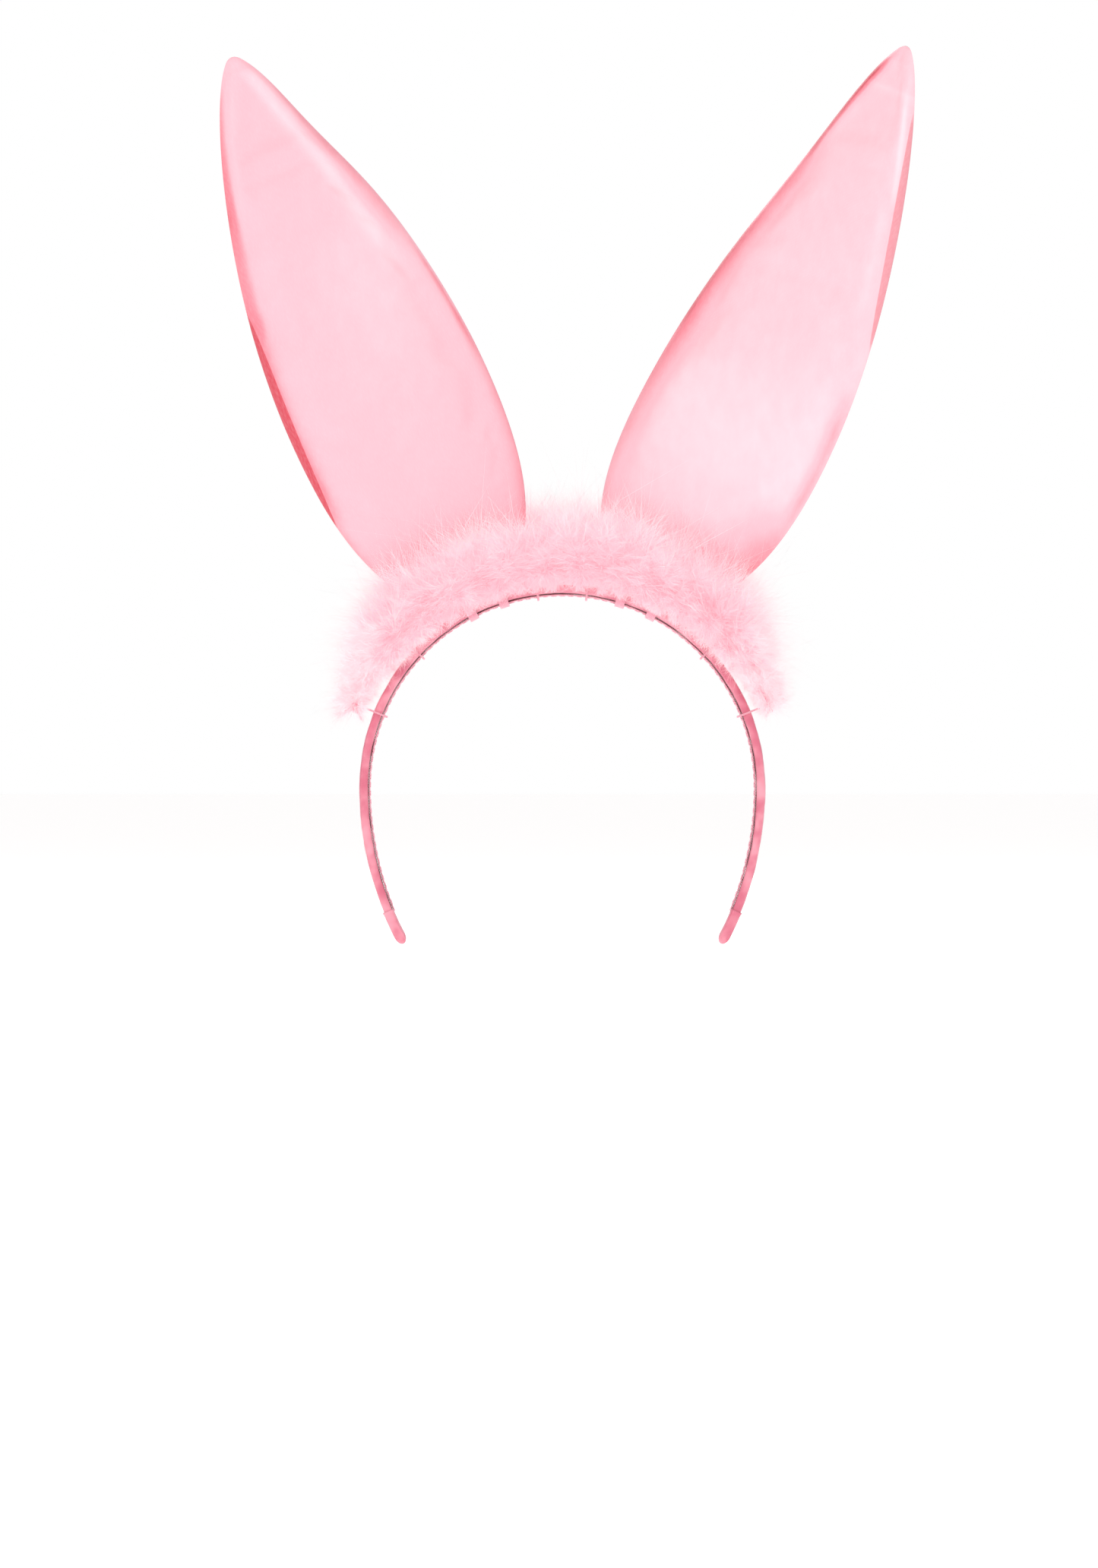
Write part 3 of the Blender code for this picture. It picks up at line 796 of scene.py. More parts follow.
def binding_line(degrees):
    along = math.radians(degrees) * CROWN_RADIUS
    reach = STRING_RADIUS + LOOP_GAP + THREAD_RADIUS
    half = tapered(SLEEVE_HALF_WIDTHS, along) + LOOP_GAP + THREAD_RADIUS
    low = -LOOP_UNDER - THREAD_RADIUS
    high = STRING_OUT + reach
    wide = STRING_SIDE + reach
    right = [
        (0, low), (half - 1.5 * MM, low), (half, low + 1.2 * MM), (half, SLEEVE_HIGH),
        (wide, STRING_OUT), (wide - 0.5 * MM, high - 0.6 * MM),
        (wide - reach, high), (0, high - 0.4 * MM),
    ]
    loop = right + [(-side, out) for side, out in reversed(right[1:-1])]
    points = on_band(along, [p[0] for p in loop], [p[1] for p in loop])
    return evenly(points, 160, True)[0]


angles = sorted([-a for a in BINDING_ANGLES] + list(BINDING_ANGLES))
for number, degrees in enumerate(angles, 1):
    name = f"binding_loop_{number}"
    loop = spun(name, binding_line(degrees), THREAD_RADIUS, 2, 2.0 * MM, THREAD, closed=True)
    declare(loop, "headband", "thread", f"binding_thread_{number}")
print("binding loops:", len(angles))

# %% [markdown]
# ## Ear feet, lashings and stems
#
# Each ear stands on a bent wire foot that lies along the band under two lashings. A lashing is one
# thread wound eight times round the band and the wire, each turn beside the last, so its line is a
# long flat helix.

# %% Lashings
SEAT_ANGLE = math.radians(22.4)
LASHING_OFFSET = 6.2 * MM
LASHING_WIDTH = 4 * MM
LASHING_TURNS = 8
LASHING_OUT = 6.7 * MM
LASHING_THREAD = 0.27 * MM
LASHING_LOW = -0.72 * MM
LASHING_GAP = 0.6 * MM


def lashing_line(along):
    start = along - LASHING_WIDTH / 2 + LASHING_THREAD
    turn = np.linspace(0, LASHING_TURNS, LASHING_TURNS * 40 + 1)
    station = start + (LASHING_WIDTH - 2 * LASHING_THREAD) * turn / LASHING_TURNS
    half = tapered(SLEEVE_HALF_WIDTHS, along) + LASHING_GAP
    side, out = section(turn % 1, half, LASHING_LOW, LASHING_OUT)
    return on_band(station, side, out)


for side_name, sign in SIDES.items():
    seat = sign * CROWN_RADIUS * SEAT_ANGLE
    for which, shift in (("inner", -1), ("outer", 1)):
        line = lashing_line(seat + sign * shift * LASHING_OFFSET)
        name = f"{side_name}_winding_{which}"
        winding = spun(name, line, LASHING_THREAD, 1, 40 * MM, THREAD, detail=60)
        declare(winding, "headband", "thread", f"{side_name}_lashing_{which}")
    refinish(f"{side_name}_foot_wire", STEEL)
    refinish(f"{side_name}_ear_wire", STEEL)
refinish("headband_core", PLASTIC)

# %% [markdown]
# ## The ears' own coordinates
#
# An ear leans outward from its tilt pivot. A place in it is a distance from the tip, a distance
# across and a depth, and `in_ear` turns that into a point, with the slight bow and the twist that the
# bent wire gives. The outline is two smooth curves that meet at the widest place.

# %% Ear coordinates
EAR_LEAN = {"left": math.radians(25.1), "right": math.radians(25.8)}
EAR_LENGTH = {"left": 210 * MM, "right": 216 * MM}
EAR_HALF_WIDTH = 39.8 * MM
EAR_BASE_HALF_WIDTH = 25.5 * MM
WIDEST_AT = 0.68
EAR_BASE_SHIFT = 2 * MM
EAR_BOW = {"left": 0.5 * MM, "right": 3 * MM}
EAR_TWIST = {"left": math.radians(8), "right": math.radians(36)}
TWIST_REACH = 0.35
EAR_CUT = {"left": (0.145, 0.13, 0.14), "right": (0.125, 0.20, 0.19)}
PIVOT_TO_EAR = 4 * MM
STEM_LENGTH = 7.7 * MM
STEM_RADIUS = 1.9 * MM
SWING_OUT = 8.3 * MM


def ear_axes(side):
    """Foot, tilt pivot, and the unit vectors up the ear and outward across it."""
    sign, lean = SIDES[side], EAR_LEAN[side]
    up = np.array((sign * math.sin(lean), 0, math.cos(lean)))
    outward = np.array((sign * math.cos(lean), 0, -math.sin(lean)))
    foot = on_band(sign * CROWN_RADIUS * SEAT_ANGLE, 0, SWING_OUT)
    return foot, foot + up * STEM_LENGTH, up, outward


def outline_widths(length):
    """Distances from the tip and half widths, finely spaced, for np.interp."""
    waist = length * WIDEST_AT
    tip_side = interpolate_bezier(
        Vector((0, 0)), Vector((2 * MM, 11 * MM)),
        Vector((waist * 0.545, EAR_HALF_WIDTH)), Vector((waist, EAR_HALF_WIDTH)), 60,
    )
    base_side = interpolate_bezier(
        Vector((waist, EAR_HALF_WIDTH)), Vector((length * 0.83, EAR_HALF_WIDTH)),
        Vector((length * 0.93, EAR_HALF_WIDTH * 0.89)), Vector((length, EAR_BASE_HALF_WIDTH)), 40,
    )
    points = np.array([p[:2] for p in tip_side + base_side[1:]])
    return points[:, 0], points[:, 1]


def half_width(side, from_tip):
    return np.interp(from_tip, *outline_widths(EAR_LENGTH[side]))


def inner_cut(side, share):
    """Scale of the ear's inner half, which is cut in a little towards the tip."""
    cut, middle, spread = EAR_CUT[side]
    return 1 - cut * np.exp(-(((share - middle) / spread) ** 2))


def ear_bend(side, share):
    """Sideways place of the ear's middle line and its twist, by the share of its length from the base."""
    sideways = EAR_BASE_SHIFT * (1 - share)
    sideways = sideways + EAR_BOW[side] * np.sin(math.pi * np.clip(share, 0, 1))
    twist = EAR_TWIST[side] * (1 - np.exp(-np.clip(share, 0, None) / TWIST_REACH))
    return sideways, twist


def in_ear(side, from_tip, across, depth):
    _, pivot, up, outward = ear_axes(side)
    sideways, twist = ear_bend(side, 1 - from_tip / EAR_LENGTH[side])
    across = np.where(across < 0, across * inner_cut(side, from_tip / EAR_LENGTH[side]), across)
    wide = across * np.cos(twist) - depth * np.sin(twist) + sideways
    deep = across * np.sin(twist) + depth * np.cos(twist)
    height = PIVOT_TO_EAR + EAR_LENGTH[side] - from_tip
    return pivot + height[..., None] * up + wide[..., None] * outward + deep[..., None] * (0, 1, 0)


def out_of_ear(side, points):
    """The reverse of in_ear for world points: distance from the tip, across and depth."""
    _, pivot, up, outward = ear_axes(side)
    rel = points - pivot
    from_tip = PIVOT_TO_EAR + EAR_LENGTH[side] - rel @ up
    sideways, twist = ear_bend(side, 1 - from_tip / EAR_LENGTH[side])
    wide = rel @ outward - sideways
    deep = rel[..., 1]
    across = wide * np.cos(twist) + deep * np.sin(twist)
    across = np.where(across < 0, across / inner_cut(side, from_tip / EAR_LENGTH[side]), across)
    return from_tip, across, deep * np.cos(twist) - wide * np.sin(twist)

# %% [markdown]
# ## Taped stems
#
# Under each ear its two wires are twisted together and wound with cloth tape. A grid wrapped into a
# tube with round ends is the stem, and a radius that drops a little over every turn gives the tape's
# slanting edge.

# %% Taped stems
TAPE_STEP = 0.16 * MM
TAPE_TURNS = 4.5


def make_stem(side):
    foot, _, up, outward = ear_axes(side)
    bm, place = grid(24, 56)
    angle = 2 * math.pi * place[:, 0]
    length = STEM_LENGTH + 2 * STEM_RADIUS
    height = place[:, 1] * length - STEM_RADIUS
    beyond = np.maximum(np.maximum(-height, height - STEM_LENGTH), 0)
    radius = np.sqrt(np.clip(STEM_RADIUS**2 - beyond**2, 1e-12, None))
    wound = (height / STEM_LENGTH * TAPE_TURNS + place[:, 0]) % 1
    radius = radius * (1 - TAPE_STEP / STEM_RADIUS * wound)
    ring = np.cos(angle)[:, None] * outward + np.sin(angle)[:, None] * np.array((0, 1, 0))
    move_to(bm, foot + height[:, None] * up + radius[:, None] * ring)
    close_up(bm, MERGE)
    piece = new_piece(f"{side}_taped_stem", bm, TAPE)
    declare(piece, f"{side}_stem", "stem_tape", f"{side}_ear_stem")
    print(piece.name, len(piece.data.vertices), "points")


for side in SIDES:
    make_stem(side)

# %% [markdown]
# ## The ear covers
#
# Each ear is two satin panels sewn together, turned right side out over a wire loop and lightly
# filled. Sewn cloth with something inside swells between its seams, so this is a job for cloth
# simulation: the seam is pinned, a little air pressure pushes the panels out, and slightly too much
# cloth leaves soft wrinkles. Two grids that share their border make the cover. Along the outer edge
# the front panel is turned over the wire, so the seam runs a few millimetres inside the back face.

# %% Cover grids
EAR_COLUMNS = 42
EAR_ROWS = 96
ACROSS_CROWDING = 0.55  # how far the grid's lines are drawn to the edges
ALONG_CROWDING = 0.5
EAR_THICKNESS = 5.3 * MM  # half thickness between the seams
EDGE_REACH = 8 * MM  # from the seam to the full thickness
TAPER_HALF_WIDTH = 22 * MM  # the ear thins towards the tip where it is narrower than this
TIP_BEND = 2.8 * MM
HEM_LENGTH = 0.8 * MM
TIP_REACH = 7 * MM
HEM_REACH = 7 * MM  # from the sewn base to the full thickness
EDGE_POWER, END_POWER, TAPER_POWER = 0.8, 0.6, 0.7  # lower is rounder
TIP_BEND_REACH = 8 * MM
PLEATS = 13
PLEAT_DEPTH = 0.45 * MM
PLEAT_REACH = 12 * MM
SEAM_COLUMN = 3  # grid columns from the outer edge to the seam
SEAM_SHARES = (0.02, 0.2)  # of the ear's width: least and most that those columns take
SEAM_WIDTH = {"left": 3.4 * MM, "right": 2.2 * MM}
SEAM_SPAN = {"left": (0.43, 0.85), "right": (0.10, 0.52)}
SEAM_SHADE = {"left": 0.95, "right": 0.50}
GROOVE_FROM = (1.4 * MM, 2.4 * MM)  # seams this far from the edge begin to be and are fully drawn in
COVER_VALUES = ("tone", "turn", "turn_depth", "rim", "groove", "run", "pin")

# %% [markdown]
# ## Shades of the satin
#
# Satin darkens where it turns away to the seam and pales where it lies flat, and that is most of what
# one sees of an ear. Light alone gives a weak version of it on a gentle swell, so the shade is painted:
# it is worked out as a number at every point, from the distance to both edges and the share of the
# length from the tip, and the finish turns it into painted shade and painted highlight in the cloth's
# colour, so it holds from every side. A few small curves do it: `bell` is a bump, `ramp` a smooth
# step, `window` a stretch, `fade` a soft limit.

# %% Shades


def bell(value, centre, width):
    return np.exp(-(((value - centre) / width) ** 2))


def ramp(value, low, high):
    share = np.clip((value - low) / (high - low), 0, 1)
    return share * share * (3 - 2 * share)


def seam_distance(side, share):
    """How far the seam lies inside the outer edge on the back face."""
    start, end = SEAM_SPAN[side]
    inside = np.clip((share - start) / (end - start), 0, 1)
    return SEAM_WIDTH[side] * np.sin(math.pi * inside) ** 0.7


def window(share, start, end, soft=0.05):
    return ramp(share, start - soft, start + soft) * (1 - ramp(share, end - soft, end + soft))


def fade(value, edge, soft):
    """1 well below the edge, 0 well above it."""
    return 1 / (1 + np.exp((value - edge) / soft))


def left_painted_shade(share, inner, outer):
    """Painted shade and highlight of the left ear. The two distances are in millimetres from its edges.
    """
    tone = -0.10 - 0.24 * bell(share, 0.50, 0.18) * ramp(outer, 12, 48)
    upper = window(share, 0.03, 0.43)
    strip = np.interp(share, (0.05, 0.10, 0.20, 0.34), (0.8, 2.2, 4.2, 6.2))
    tone = tone + upper * (0.64 * fade(inner, strip, 0.7) - 0.42 * bell(inner, strip + 4.5, 3.5))
    middle = window(share, 0.45, 0.64)
    tone = tone + middle * (0.75 * bell(inner, 1.9, 0.9) + 0.40 * np.exp(-inner / 7))
    tone = tone + window(share, 0.62, 1.2) * (0.50 * np.exp(-inner / 7) + 0.25 * np.exp(-inner / 1.2))
    stations = (0.03, 0.06, 0.20, 0.27, 0.33, 0.46, 0.50)
    depth = np.interp(share, stations, (0, 0.9, 1.2, 1.5, 0.95, 0.95, 0))
    width = np.interp(share, (0.05, 0.12, 0.27, 0.34), (0.9, 1.7, 3.3, 4.4))
    tone = tone + depth * fade(outer, width, 0.8)
    tone = tone + window(share, 0.05, 0.30) * (0.12 * bell(outer, 10, 3) - 0.16 * bell(outer, 5, 2))
    tone = tone + window(share, 0.46, 0.82) * 0.95 * np.exp(-np.maximum(outer - 3, 0) / 2.8)
    return tone + window(share, 0.82, 1.2) * 0.75 * np.exp(-outer / 2.6)


def right_painted_shade(share, inner, outer):
    """Painted shade and highlight of the right ear, which turns more of its inner edge away."""
    tone = -0.38 - 0.22 * bell(share, 0.74, 0.13)
    tone = tone + window(share, 0.035, 0.235, 0.03) * 2.35 * fade(inner, 4.6, 0.75)
    stations = (0.19, 0.27, 0.34, 0.55, 0.62, 0.70, 0.78, 0.90)
    depth = np.interp(share, stations, (0.3, 1.3, 1.25, 1.25, 1.45, 1.25, 1.1, 0.6))
    tone = tone + ramp(share, 0.18, 0.24) * depth * fade(inner, 8, 2.2)
    tone = tone + window(share, 0.385, 0.60, 0.03) * 0.95 * bell(inner, 1.5, 2.2)
    tone = tone + window(share, 0.60, 0.73, 0.03) * 0.45 * np.exp(-inner / 1.5)
    tone = tone - window(share, 0.09, 0.26, 0.03) * 0.45 * bell(outer, 2.9, 0.9)
    tone = tone - window(share, 0.28, 0.46, 0.03) * 0.14 * bell(outer, 6, 2)
    tone = tone + window(share, 0.62, 0.84) * bell(outer, 1.6, 2.2)
    tone = tone + ramp(share, 0.80, 0.91) * 1.1 * bell(outer, 0, 13)
    return tone - 0.18 * bell(share, 0.085, 0.006)


PAINTED_SHADES = {"left": left_painted_shade, "right": right_painted_shade}
FRONT_TONE = 0.35  # the front face, which the light reaches evenly, is painted more weakly
FRONT_TURN = 4  # how much sooner the turned strip's shade ends on the front face
FRONT_TONE_REACH = 1.6  # in millimetres from the edge, where both faces have the same shade

# %% One face of an ear


def crowd(share, strength):
    """Shares from 0 to 1 moved towards both ends, where an ear curves most."""
    return share - strength * np.sin(2 * math.pi * share) / (2 * math.pi)


def ear_sheet(bm, side, face, inset=0.0, depth=1.0, columns=EAR_COLUMNS, rows=EAR_ROWS):
    """Adds one face's grid to bm: points on the ear, with the values its finish reads."""
    length = EAR_LENGTH[side]
    made = bmesh.ops.create_grid(bm, x_segments=columns, y_segments=rows, size=0.5)["verts"]
    place = np.array([v.co[:2] for v in made]) + 0.5
    x = crowd(place[:, 0], ACROSS_CROWDING)
    y = crowd(place[:, 1], ALONG_CROWDING)
    end = length + HEM_LENGTH - inset
    centre = inset + y * (end - inset)
    bend = TIP_BEND * np.exp(-centre / TIP_BEND_REACH)
    half = half_width(side, centre + bend) - inset
    share = np.clip(centre / length, 0, 1)
    seam = seam_distance(side, share)
    seam_x = crowd(1 - SEAM_COLUMN / columns, ACROSS_CROWDING)
    seam_at = 1 - np.clip(seam / np.maximum(2 * half, 1 * MM), *SEAM_SHARES)
    past_seam = seam_at + (x - seam_x) / (1 - seam_x) * (1 - seam_at)
    x = np.where(x > seam_x, past_seam, x / seam_x * seam_at)
    k = 2 * x - 1
    from_tip = centre + bend * k * k
    across = k * half
    near = np.clip(half * (1 - np.abs(k)) / EDGE_REACH, 0, 1)
    near = (1 - (1 - near) ** 2) ** EDGE_POWER
    near = near * np.clip((centre - inset) / TIP_REACH, 0, 1) ** END_POWER
    near = near * np.clip((end - centre) / HEM_REACH, 0, 1) ** END_POWER
    thick = EAR_THICKNESS * depth * np.clip(half / TAPER_HALF_WIDTH, 0, 1) ** TAPER_POWER
    pleat = PLEAT_DEPTH * np.cos(PLEATS * math.pi * k) * np.exp(-np.abs(length - centre) / PLEAT_REACH)
    deep = face * near * (thick * (1 + 0.1 * (1 - k * k)) + pleat * depth)
    points = in_ear(side, from_tip, across, deep)
    inner = half * (1 + k)
    outer = half * (1 - k)
    back = face > 0
    turn = (seam - outer * (1 if back else FRONT_TURN)) / MM
    edge = np.exp(-np.minimum(inner, outer) / MM / FRONT_TONE_REACH)
    strength = 1.0 if back else FRONT_TONE + (1 - FRONT_TONE) * edge
    # tone holds the painted shade and highlight, and turn with its depth the painted shade of the strip
    # turned past the seam.
    values = {
        "tone": PAINTED_SHADES[side](share, inner / MM, outer / MM) * strength,
        "turn": turn,
        "turn_depth": ramp(seam, 0.0, 0.8 * MM) * SEAM_SHADE[side],
        "rim": np.minimum(inner, outer) / MM,
        "groove": ramp(seam, *GROOVE_FROM) * bell(turn, 0, 0.6) * back,
        "run": from_tip / MM,
        "pin": ((np.abs(k) > 0.999) | (y < 1e-6) | (y > 1 - 1e-6)) * 1.0,
    }
    for name in COVER_VALUES:
        layer = bm.verts.layers.float[name]
        for vertex, number in zip(made, values[name], strict=True):
            vertex[layer] = number
    cloth = bm.loops.layers.uv["cloth"]
    flat = {v: (a, f) for v, a, f in zip(made, across, from_tip, strict=True)}
    for vertex, point in zip(made, points, strict=True):
        vertex.co = point
    for f in {f for v in made for f in v.link_faces}:
        for loop in f.loops:
            loop[cloth].uv = flat[loop.vert]


def ear_pillow(name, side, finish, **shape):
    """Both faces of an ear, joined at their shared rim."""
    bm = bmesh.new()
    for value in COVER_VALUES:
        bm.verts.layers.float.new(value)
    bm.loops.layers.uv.new("cloth")
    ear_sheet(bm, side, 1, **shape)
    ear_sheet(bm, side, -1, **shape)
    close_up(bm, MERGE)
    return new_piece(name, bm, finish)


# %% Cloth simulation
CLOTH_FRAMES = 16
EAR_PRESSURE = 4.0
CLOTH_EASE = 0.012  # extra cloth, as a share of its size
SWELL_LIMIT = 2.0 * MM
HELD_BY_WIRE = (2.0, 10.0)  # millimetres from the edge: still up to the first, free from the second


def vectors(mesh, kind):
    """The mesh's points or normals, one row each."""
    values = np.zeros(len(mesh.vertices) * 3)
    data, key = {"point": (mesh.vertices, "co"), "normal": (mesh.vertex_normals, "vector")}[kind]
    data.foreach_get(key, values)
    return values.reshape(-1, 3)


def attribute(mesh, name):
    values = np.zeros(len(mesh.vertices))
    mesh.attributes[name].data.foreach_get("value", values)
    return values


def inflate(piece, pressure, limit):
    """Swell a sewn piece between its pinned seams, then keep the shape and drop the cloth."""
    start = vectors(piece.data, "point")
    pinned = piece.vertex_groups.new(name="sewn")
    pins = np.flatnonzero(attribute(piece.data, "pin") > 0.5)
    pinned.add([int(i) for i in pins], 1.0, "REPLACE")
    cloth = piece.modifiers.new("cloth", "CLOTH")
    settings = cloth.settings
    settings.vertex_group_mass = "sewn"
    settings.quality = 6
    settings.mass = 0.02
    settings.use_pressure = True
    settings.uniform_pressure_force = pressure
    settings.shrink_min = -CLOTH_EASE
    settings.effector_weights.gravity = 0
    settings.bending_stiffness = 0.05
    cloth.collision_settings.use_collision = False
    scene.frame_start = 1
    scene.frame_end = CLOTH_FRAMES
    for number in range(1, CLOTH_FRAMES + 1):
        scene.frame_set(number)
    evaluated = piece.evaluated_get(bpy.context.evaluated_depsgraph_get())
    moved = vectors(evaluated.data, "point") - start
    piece.modifiers.remove(cloth)
    scene.frame_set(1)
    moved *= ramp(attribute(piece.data, "rim"), *HELD_BY_WIRE)[:, None]
    size = np.linalg.norm(moved, axis=1, keepdims=True)
    moved *= np.tanh(size / limit) * limit / np.maximum(size, 1e-9)
    piece.data.vertices.foreach_set("co", (start + moved).reshape(-1))
    piece.data.update()
    print(f"{piece.name} swelled by up to {size.max() / MM:.2f} mm, mean {size.mean() / MM:.2f} mm")


# %% Seam groove and puckers
GROOVE_DEPTH = 0.5 * MM
PUCKER_DEPTH = 0.09 * MM
PUCKER_PITCH = 7.0  # in millimetres along the seam


def sew(piece, seed):
    """Draws the seam in and lets the cloth pucker beside the edges."""
    mesh = piece.data
    points, normals = vectors(mesh, "point"), vectors(mesh, "normal")
    run = attribute(mesh, "run")
    rim = attribute(mesh, "rim")
    drift = wavy(points, 60.0, seed)
    pucker = np.sin(2 * math.pi * run / PUCKER_PITCH + 5 * drift) * (0.4 + 0.6 * drift)
    near_seam = np.maximum(np.exp(-rim / 3.0), 0.8 * bell(attribute(mesh, "turn"), -1.5, 2.0))
    free = np.clip(rim / 1.0, 0, 1)
    shift = PUCKER_DEPTH * pucker * near_seam * free - GROOVE_DEPTH * attribute(mesh, "groove")
    mesh.vertices.foreach_set("co", (points + normals * shift[:, None]).reshape(-1))
    mesh.update()


def subdivide(piece):
    finer = piece.modifiers.new("finer", "SUBSURF")
    finer.levels = finer.render_levels = 1


for side in SIDES:
    cover = ear_pillow(f"{side}_ear_cover", side, EAR_SATIN)
    inflate(cover, EAR_PRESSURE, SWELL_LIMIT)
    sew(cover, SIDES[side] + 3)
    subdivide(cover)
    panels = (f"{side}_ear_front_panel", f"{side}_ear_back_panel")
    declare(cover, f"{side}_ear", "ear_satin", *panels)

# %% [markdown]
# ## Wadding
#
# Inside each cover lies a thin pad of white wadding, short of the seam so that the wire has room. It
# is the same shape as the cover, drawn in, with lumps.

# %% Wadding pads
PAD_INSET = 2.8 * MM
PAD_DEPTH = 0.66
PAD_LUMPS = 0.25 * MM
PAD_GAP = 0.5 * MM
PAD_LEAST = 0.1 * MM


def room_inside(cover, middles, ways):
    """How far one can go from each middle point along its way before the cover's satin."""
    bm = bmesh.new()
    bm.from_mesh(cover.data)
    tree = BVHTree.FromBMesh(bm)
    hits = [tree.ray_cast(Vector(m), Vector(w))[3] for m, w in zip(middles, ways, strict=True)]
    bm.free()
    return np.array([0.0 if hit is None else hit for hit in hits])


def fill_cover(side, cover):
    """A pad of the ear's shape, thinned wherever the swelled satin leaves less room."""
    pad = ear_pillow(
        f"{side}_ear_pad", side, WADDING, inset=PAD_INSET, depth=PAD_DEPTH, columns=24, rows=60
    )
    points = vectors(pad.data, "point")
    from_tip, across, depth = out_of_ear(side, points)
    middles = in_ear(side, from_tip, across, np.zeros_like(depth))
    ways = in_ear(side, from_tip, across, np.where(depth < 0, -1.0, 1.0)) - middles
    room = np.maximum(room_inside(cover, middles, ways) - PAD_GAP, PAD_LEAST)
    lumpy = np.abs(depth) + wavy(points, 130.0, 8) * PAD_LUMPS
    thick = np.where(np.abs(depth) < MERGE, 0, np.clip(lumpy, PAD_LEAST, room))
    pad.data.vertices.foreach_set("co", (middles + ways * thick[:, None]).reshape(-1))
    declare(pad, f"{side}_ear", "wadding", f"{side}_ear_filling")
    print(pad.name, "is up to", round(thick.max() / MM, 1), "mm from the middle")


for side in SIDES:
    fill_cover(side, bpy.data.objects[f"{side}_ear_cover"])

# %% [markdown]
# ## Marabou
#
# A marabou boa is a string with hundreds of small down feathers tied round it. Each feather has a
# short quill, and long soft barbs fan out from it. What the eye sees is thousands of barb ends, so
# the barbs are made as geometry: one thin three-sided cone, cut across so that it can bend, and
# copied along every quill. The directions come from seeded random numbers. All of it is worked out
# in the band's coordinates first, where the head is flat and barbs are easily kept off it.

# %% The down's finish
# The down is pinkest near the string and palest far out: partly the barbs' paler ends, partly painted
# shade deep in the trim.
DOWN_ROOT = (1.0, 0.66, 0.72)
DOWN_MIDDLE = (1.0, 0.73, 0.78)
DOWN_TIP = (1.0, 0.90, 0.91)
DOWN_GLOW = (1.0, 0.58, 0.66)


def down_finish():
    down = Finish("marabou_down", DOWN_MIDDLE, 0.85, Specular_IOR_Level=0.12, Sheen_Weight=0.15)
    tip = down.attribute("tip")
    # feather carries each feather's random tint, with painted light that makes the trim's ends paler.
    feather = down.attribute("feather")
    colour = down.mix(down.step(tip + feather * 0.12, 0.0, 0.55), DOWN_ROOT, DOWN_MIDDLE)
    colour = down.mix(down.step(tip + feather * 0.22, 0.45, 1.05), colour, DOWN_TIP)
    down.set("Base Color", colour)
    # Painted light: a faint pink glow stands in for the light that scatters through real down.
    down.set("Emission Color", DOWN_GLOW)
    down.set("Emission Strength", 0.30)
    return down


DOWN = down_finish()

# %% One barb
BARB_CUT = 0.55  # height of the cut at which a barb bends
BARB_TAPER = 0.8


def barb_shape():
    """Ring directions, heights and triangles of a cone cut once, standing on its base."""
    bm = bmesh.new()
    bmesh.ops.create_cone(bm, cap_ends=True, segments=3, radius1=1, radius2=0, depth=1)
    bmesh.ops.translate(bm, verts=bm.verts, vec=(0, 0, 0.5))
    geometry = [*bm.verts, *bm.edges, *bm.faces]
    bmesh.ops.bisect_plane(bm, geom=geometry, plane_co=(0, 0, BARB_CUT), plane_no=(0, 0, 1))
    bmesh.ops.remove_doubles(bm, verts=bm.verts, dist=0.001)
    bmesh.ops.triangulate(bm, faces=bm.faces)
    return as_arrays(bm)


BARB_POINTS, BARB_FACES = barb_shape()
print("one barb:", len(BARB_POINTS), "points,", len(BARB_FACES), "triangles")

# %% Feathers and barbs
FEATHERS_PER_MM = 4.8  # of band, on one string
BARBS_PER_FEATHER = 78
BARB_RADIUS = 0.10 * MM
THICK_BARBS = 0.18  # share of the barbs that are tufts stuck together
THICK_TIMES = 2.5
LONG_BARBS = 0.02
LONG_TIMES = 1.45
QUILL_SHARE = 0.55  # of the reach
LOW_FEATHERS = 0.42  # share of the feathers that lie down over the band's edge
END_THINS = math.radians(44)  # where the trim starts to grow shorter
END_RUN = math.radians(18)
END_SHORTENS = 0.54
# Painted light: how much paler the short down at the trim's ends is painted.
END_PAINTED_LIGHT = 3.2
# The down is painted in shade nearer the string than this.
PALE_AT = 29 * MM  # distance from the string at which the down is palest
SIDE_REACH = 21 * MM
UP_REACH_GAIN = 10 * MM
DOWN_REACH_LOSS = 8 * MM
LOW_ANGLES = (-78, 0)  # degrees; sideways is 0 and outward is 90
HIGH_ANGLES = (-5, 140)
LEAN_SPREAD = 0.42
OPENING_ANGLES = (6, 50)  # degrees between a barb and its quill
HEAD_CLEARANCE = 0.6 * MM
SOFT_LANDING = 1.6 * MM  # how gradually a barb lies down on what is under it
BAND_CLEARANCE = 5.2 * MM
BAND_HALF = 8.3 * MM
SIDE_LIMIT = 33.5 * MM
EAR_CLEARANCE = 7.2 * MM
EAR_MARGIN = 2.0 * MM  # how far past an ear's outline barbs are still pushed aside
PLUME_SECTIONS = (
    ("right_end", -69.0, -47.0),
    ("right_ear", -47.0, -7.2),
    ("middle", -7.2, 7.2),
    ("left_ear", 7.2, 47.0),
    ("left_end", 47.0, 69.0),
)


def unit(vectors):
    return vectors / np.linalg.norm(vectors, axis=-1, keepdims=True)


def reach_towards(angle):
    """How far a feather reaches, by its direction: sideways 0, outward a quarter turn."""
    up = np.sin(angle)
    return SIDE_REACH + UP_REACH_GAIN * np.clip(up, 0, 1) - DOWN_REACH_LOSS * np.clip(-up, 0, 1)


def end_scale(along):
    """How much shorter the down is at this place than over the crown."""
    beyond = (np.abs(along) / CROWN_RADIUS - END_THINS) / END_RUN
    return 1 - END_SHORTENS * np.clip(beyond, 0, 1)


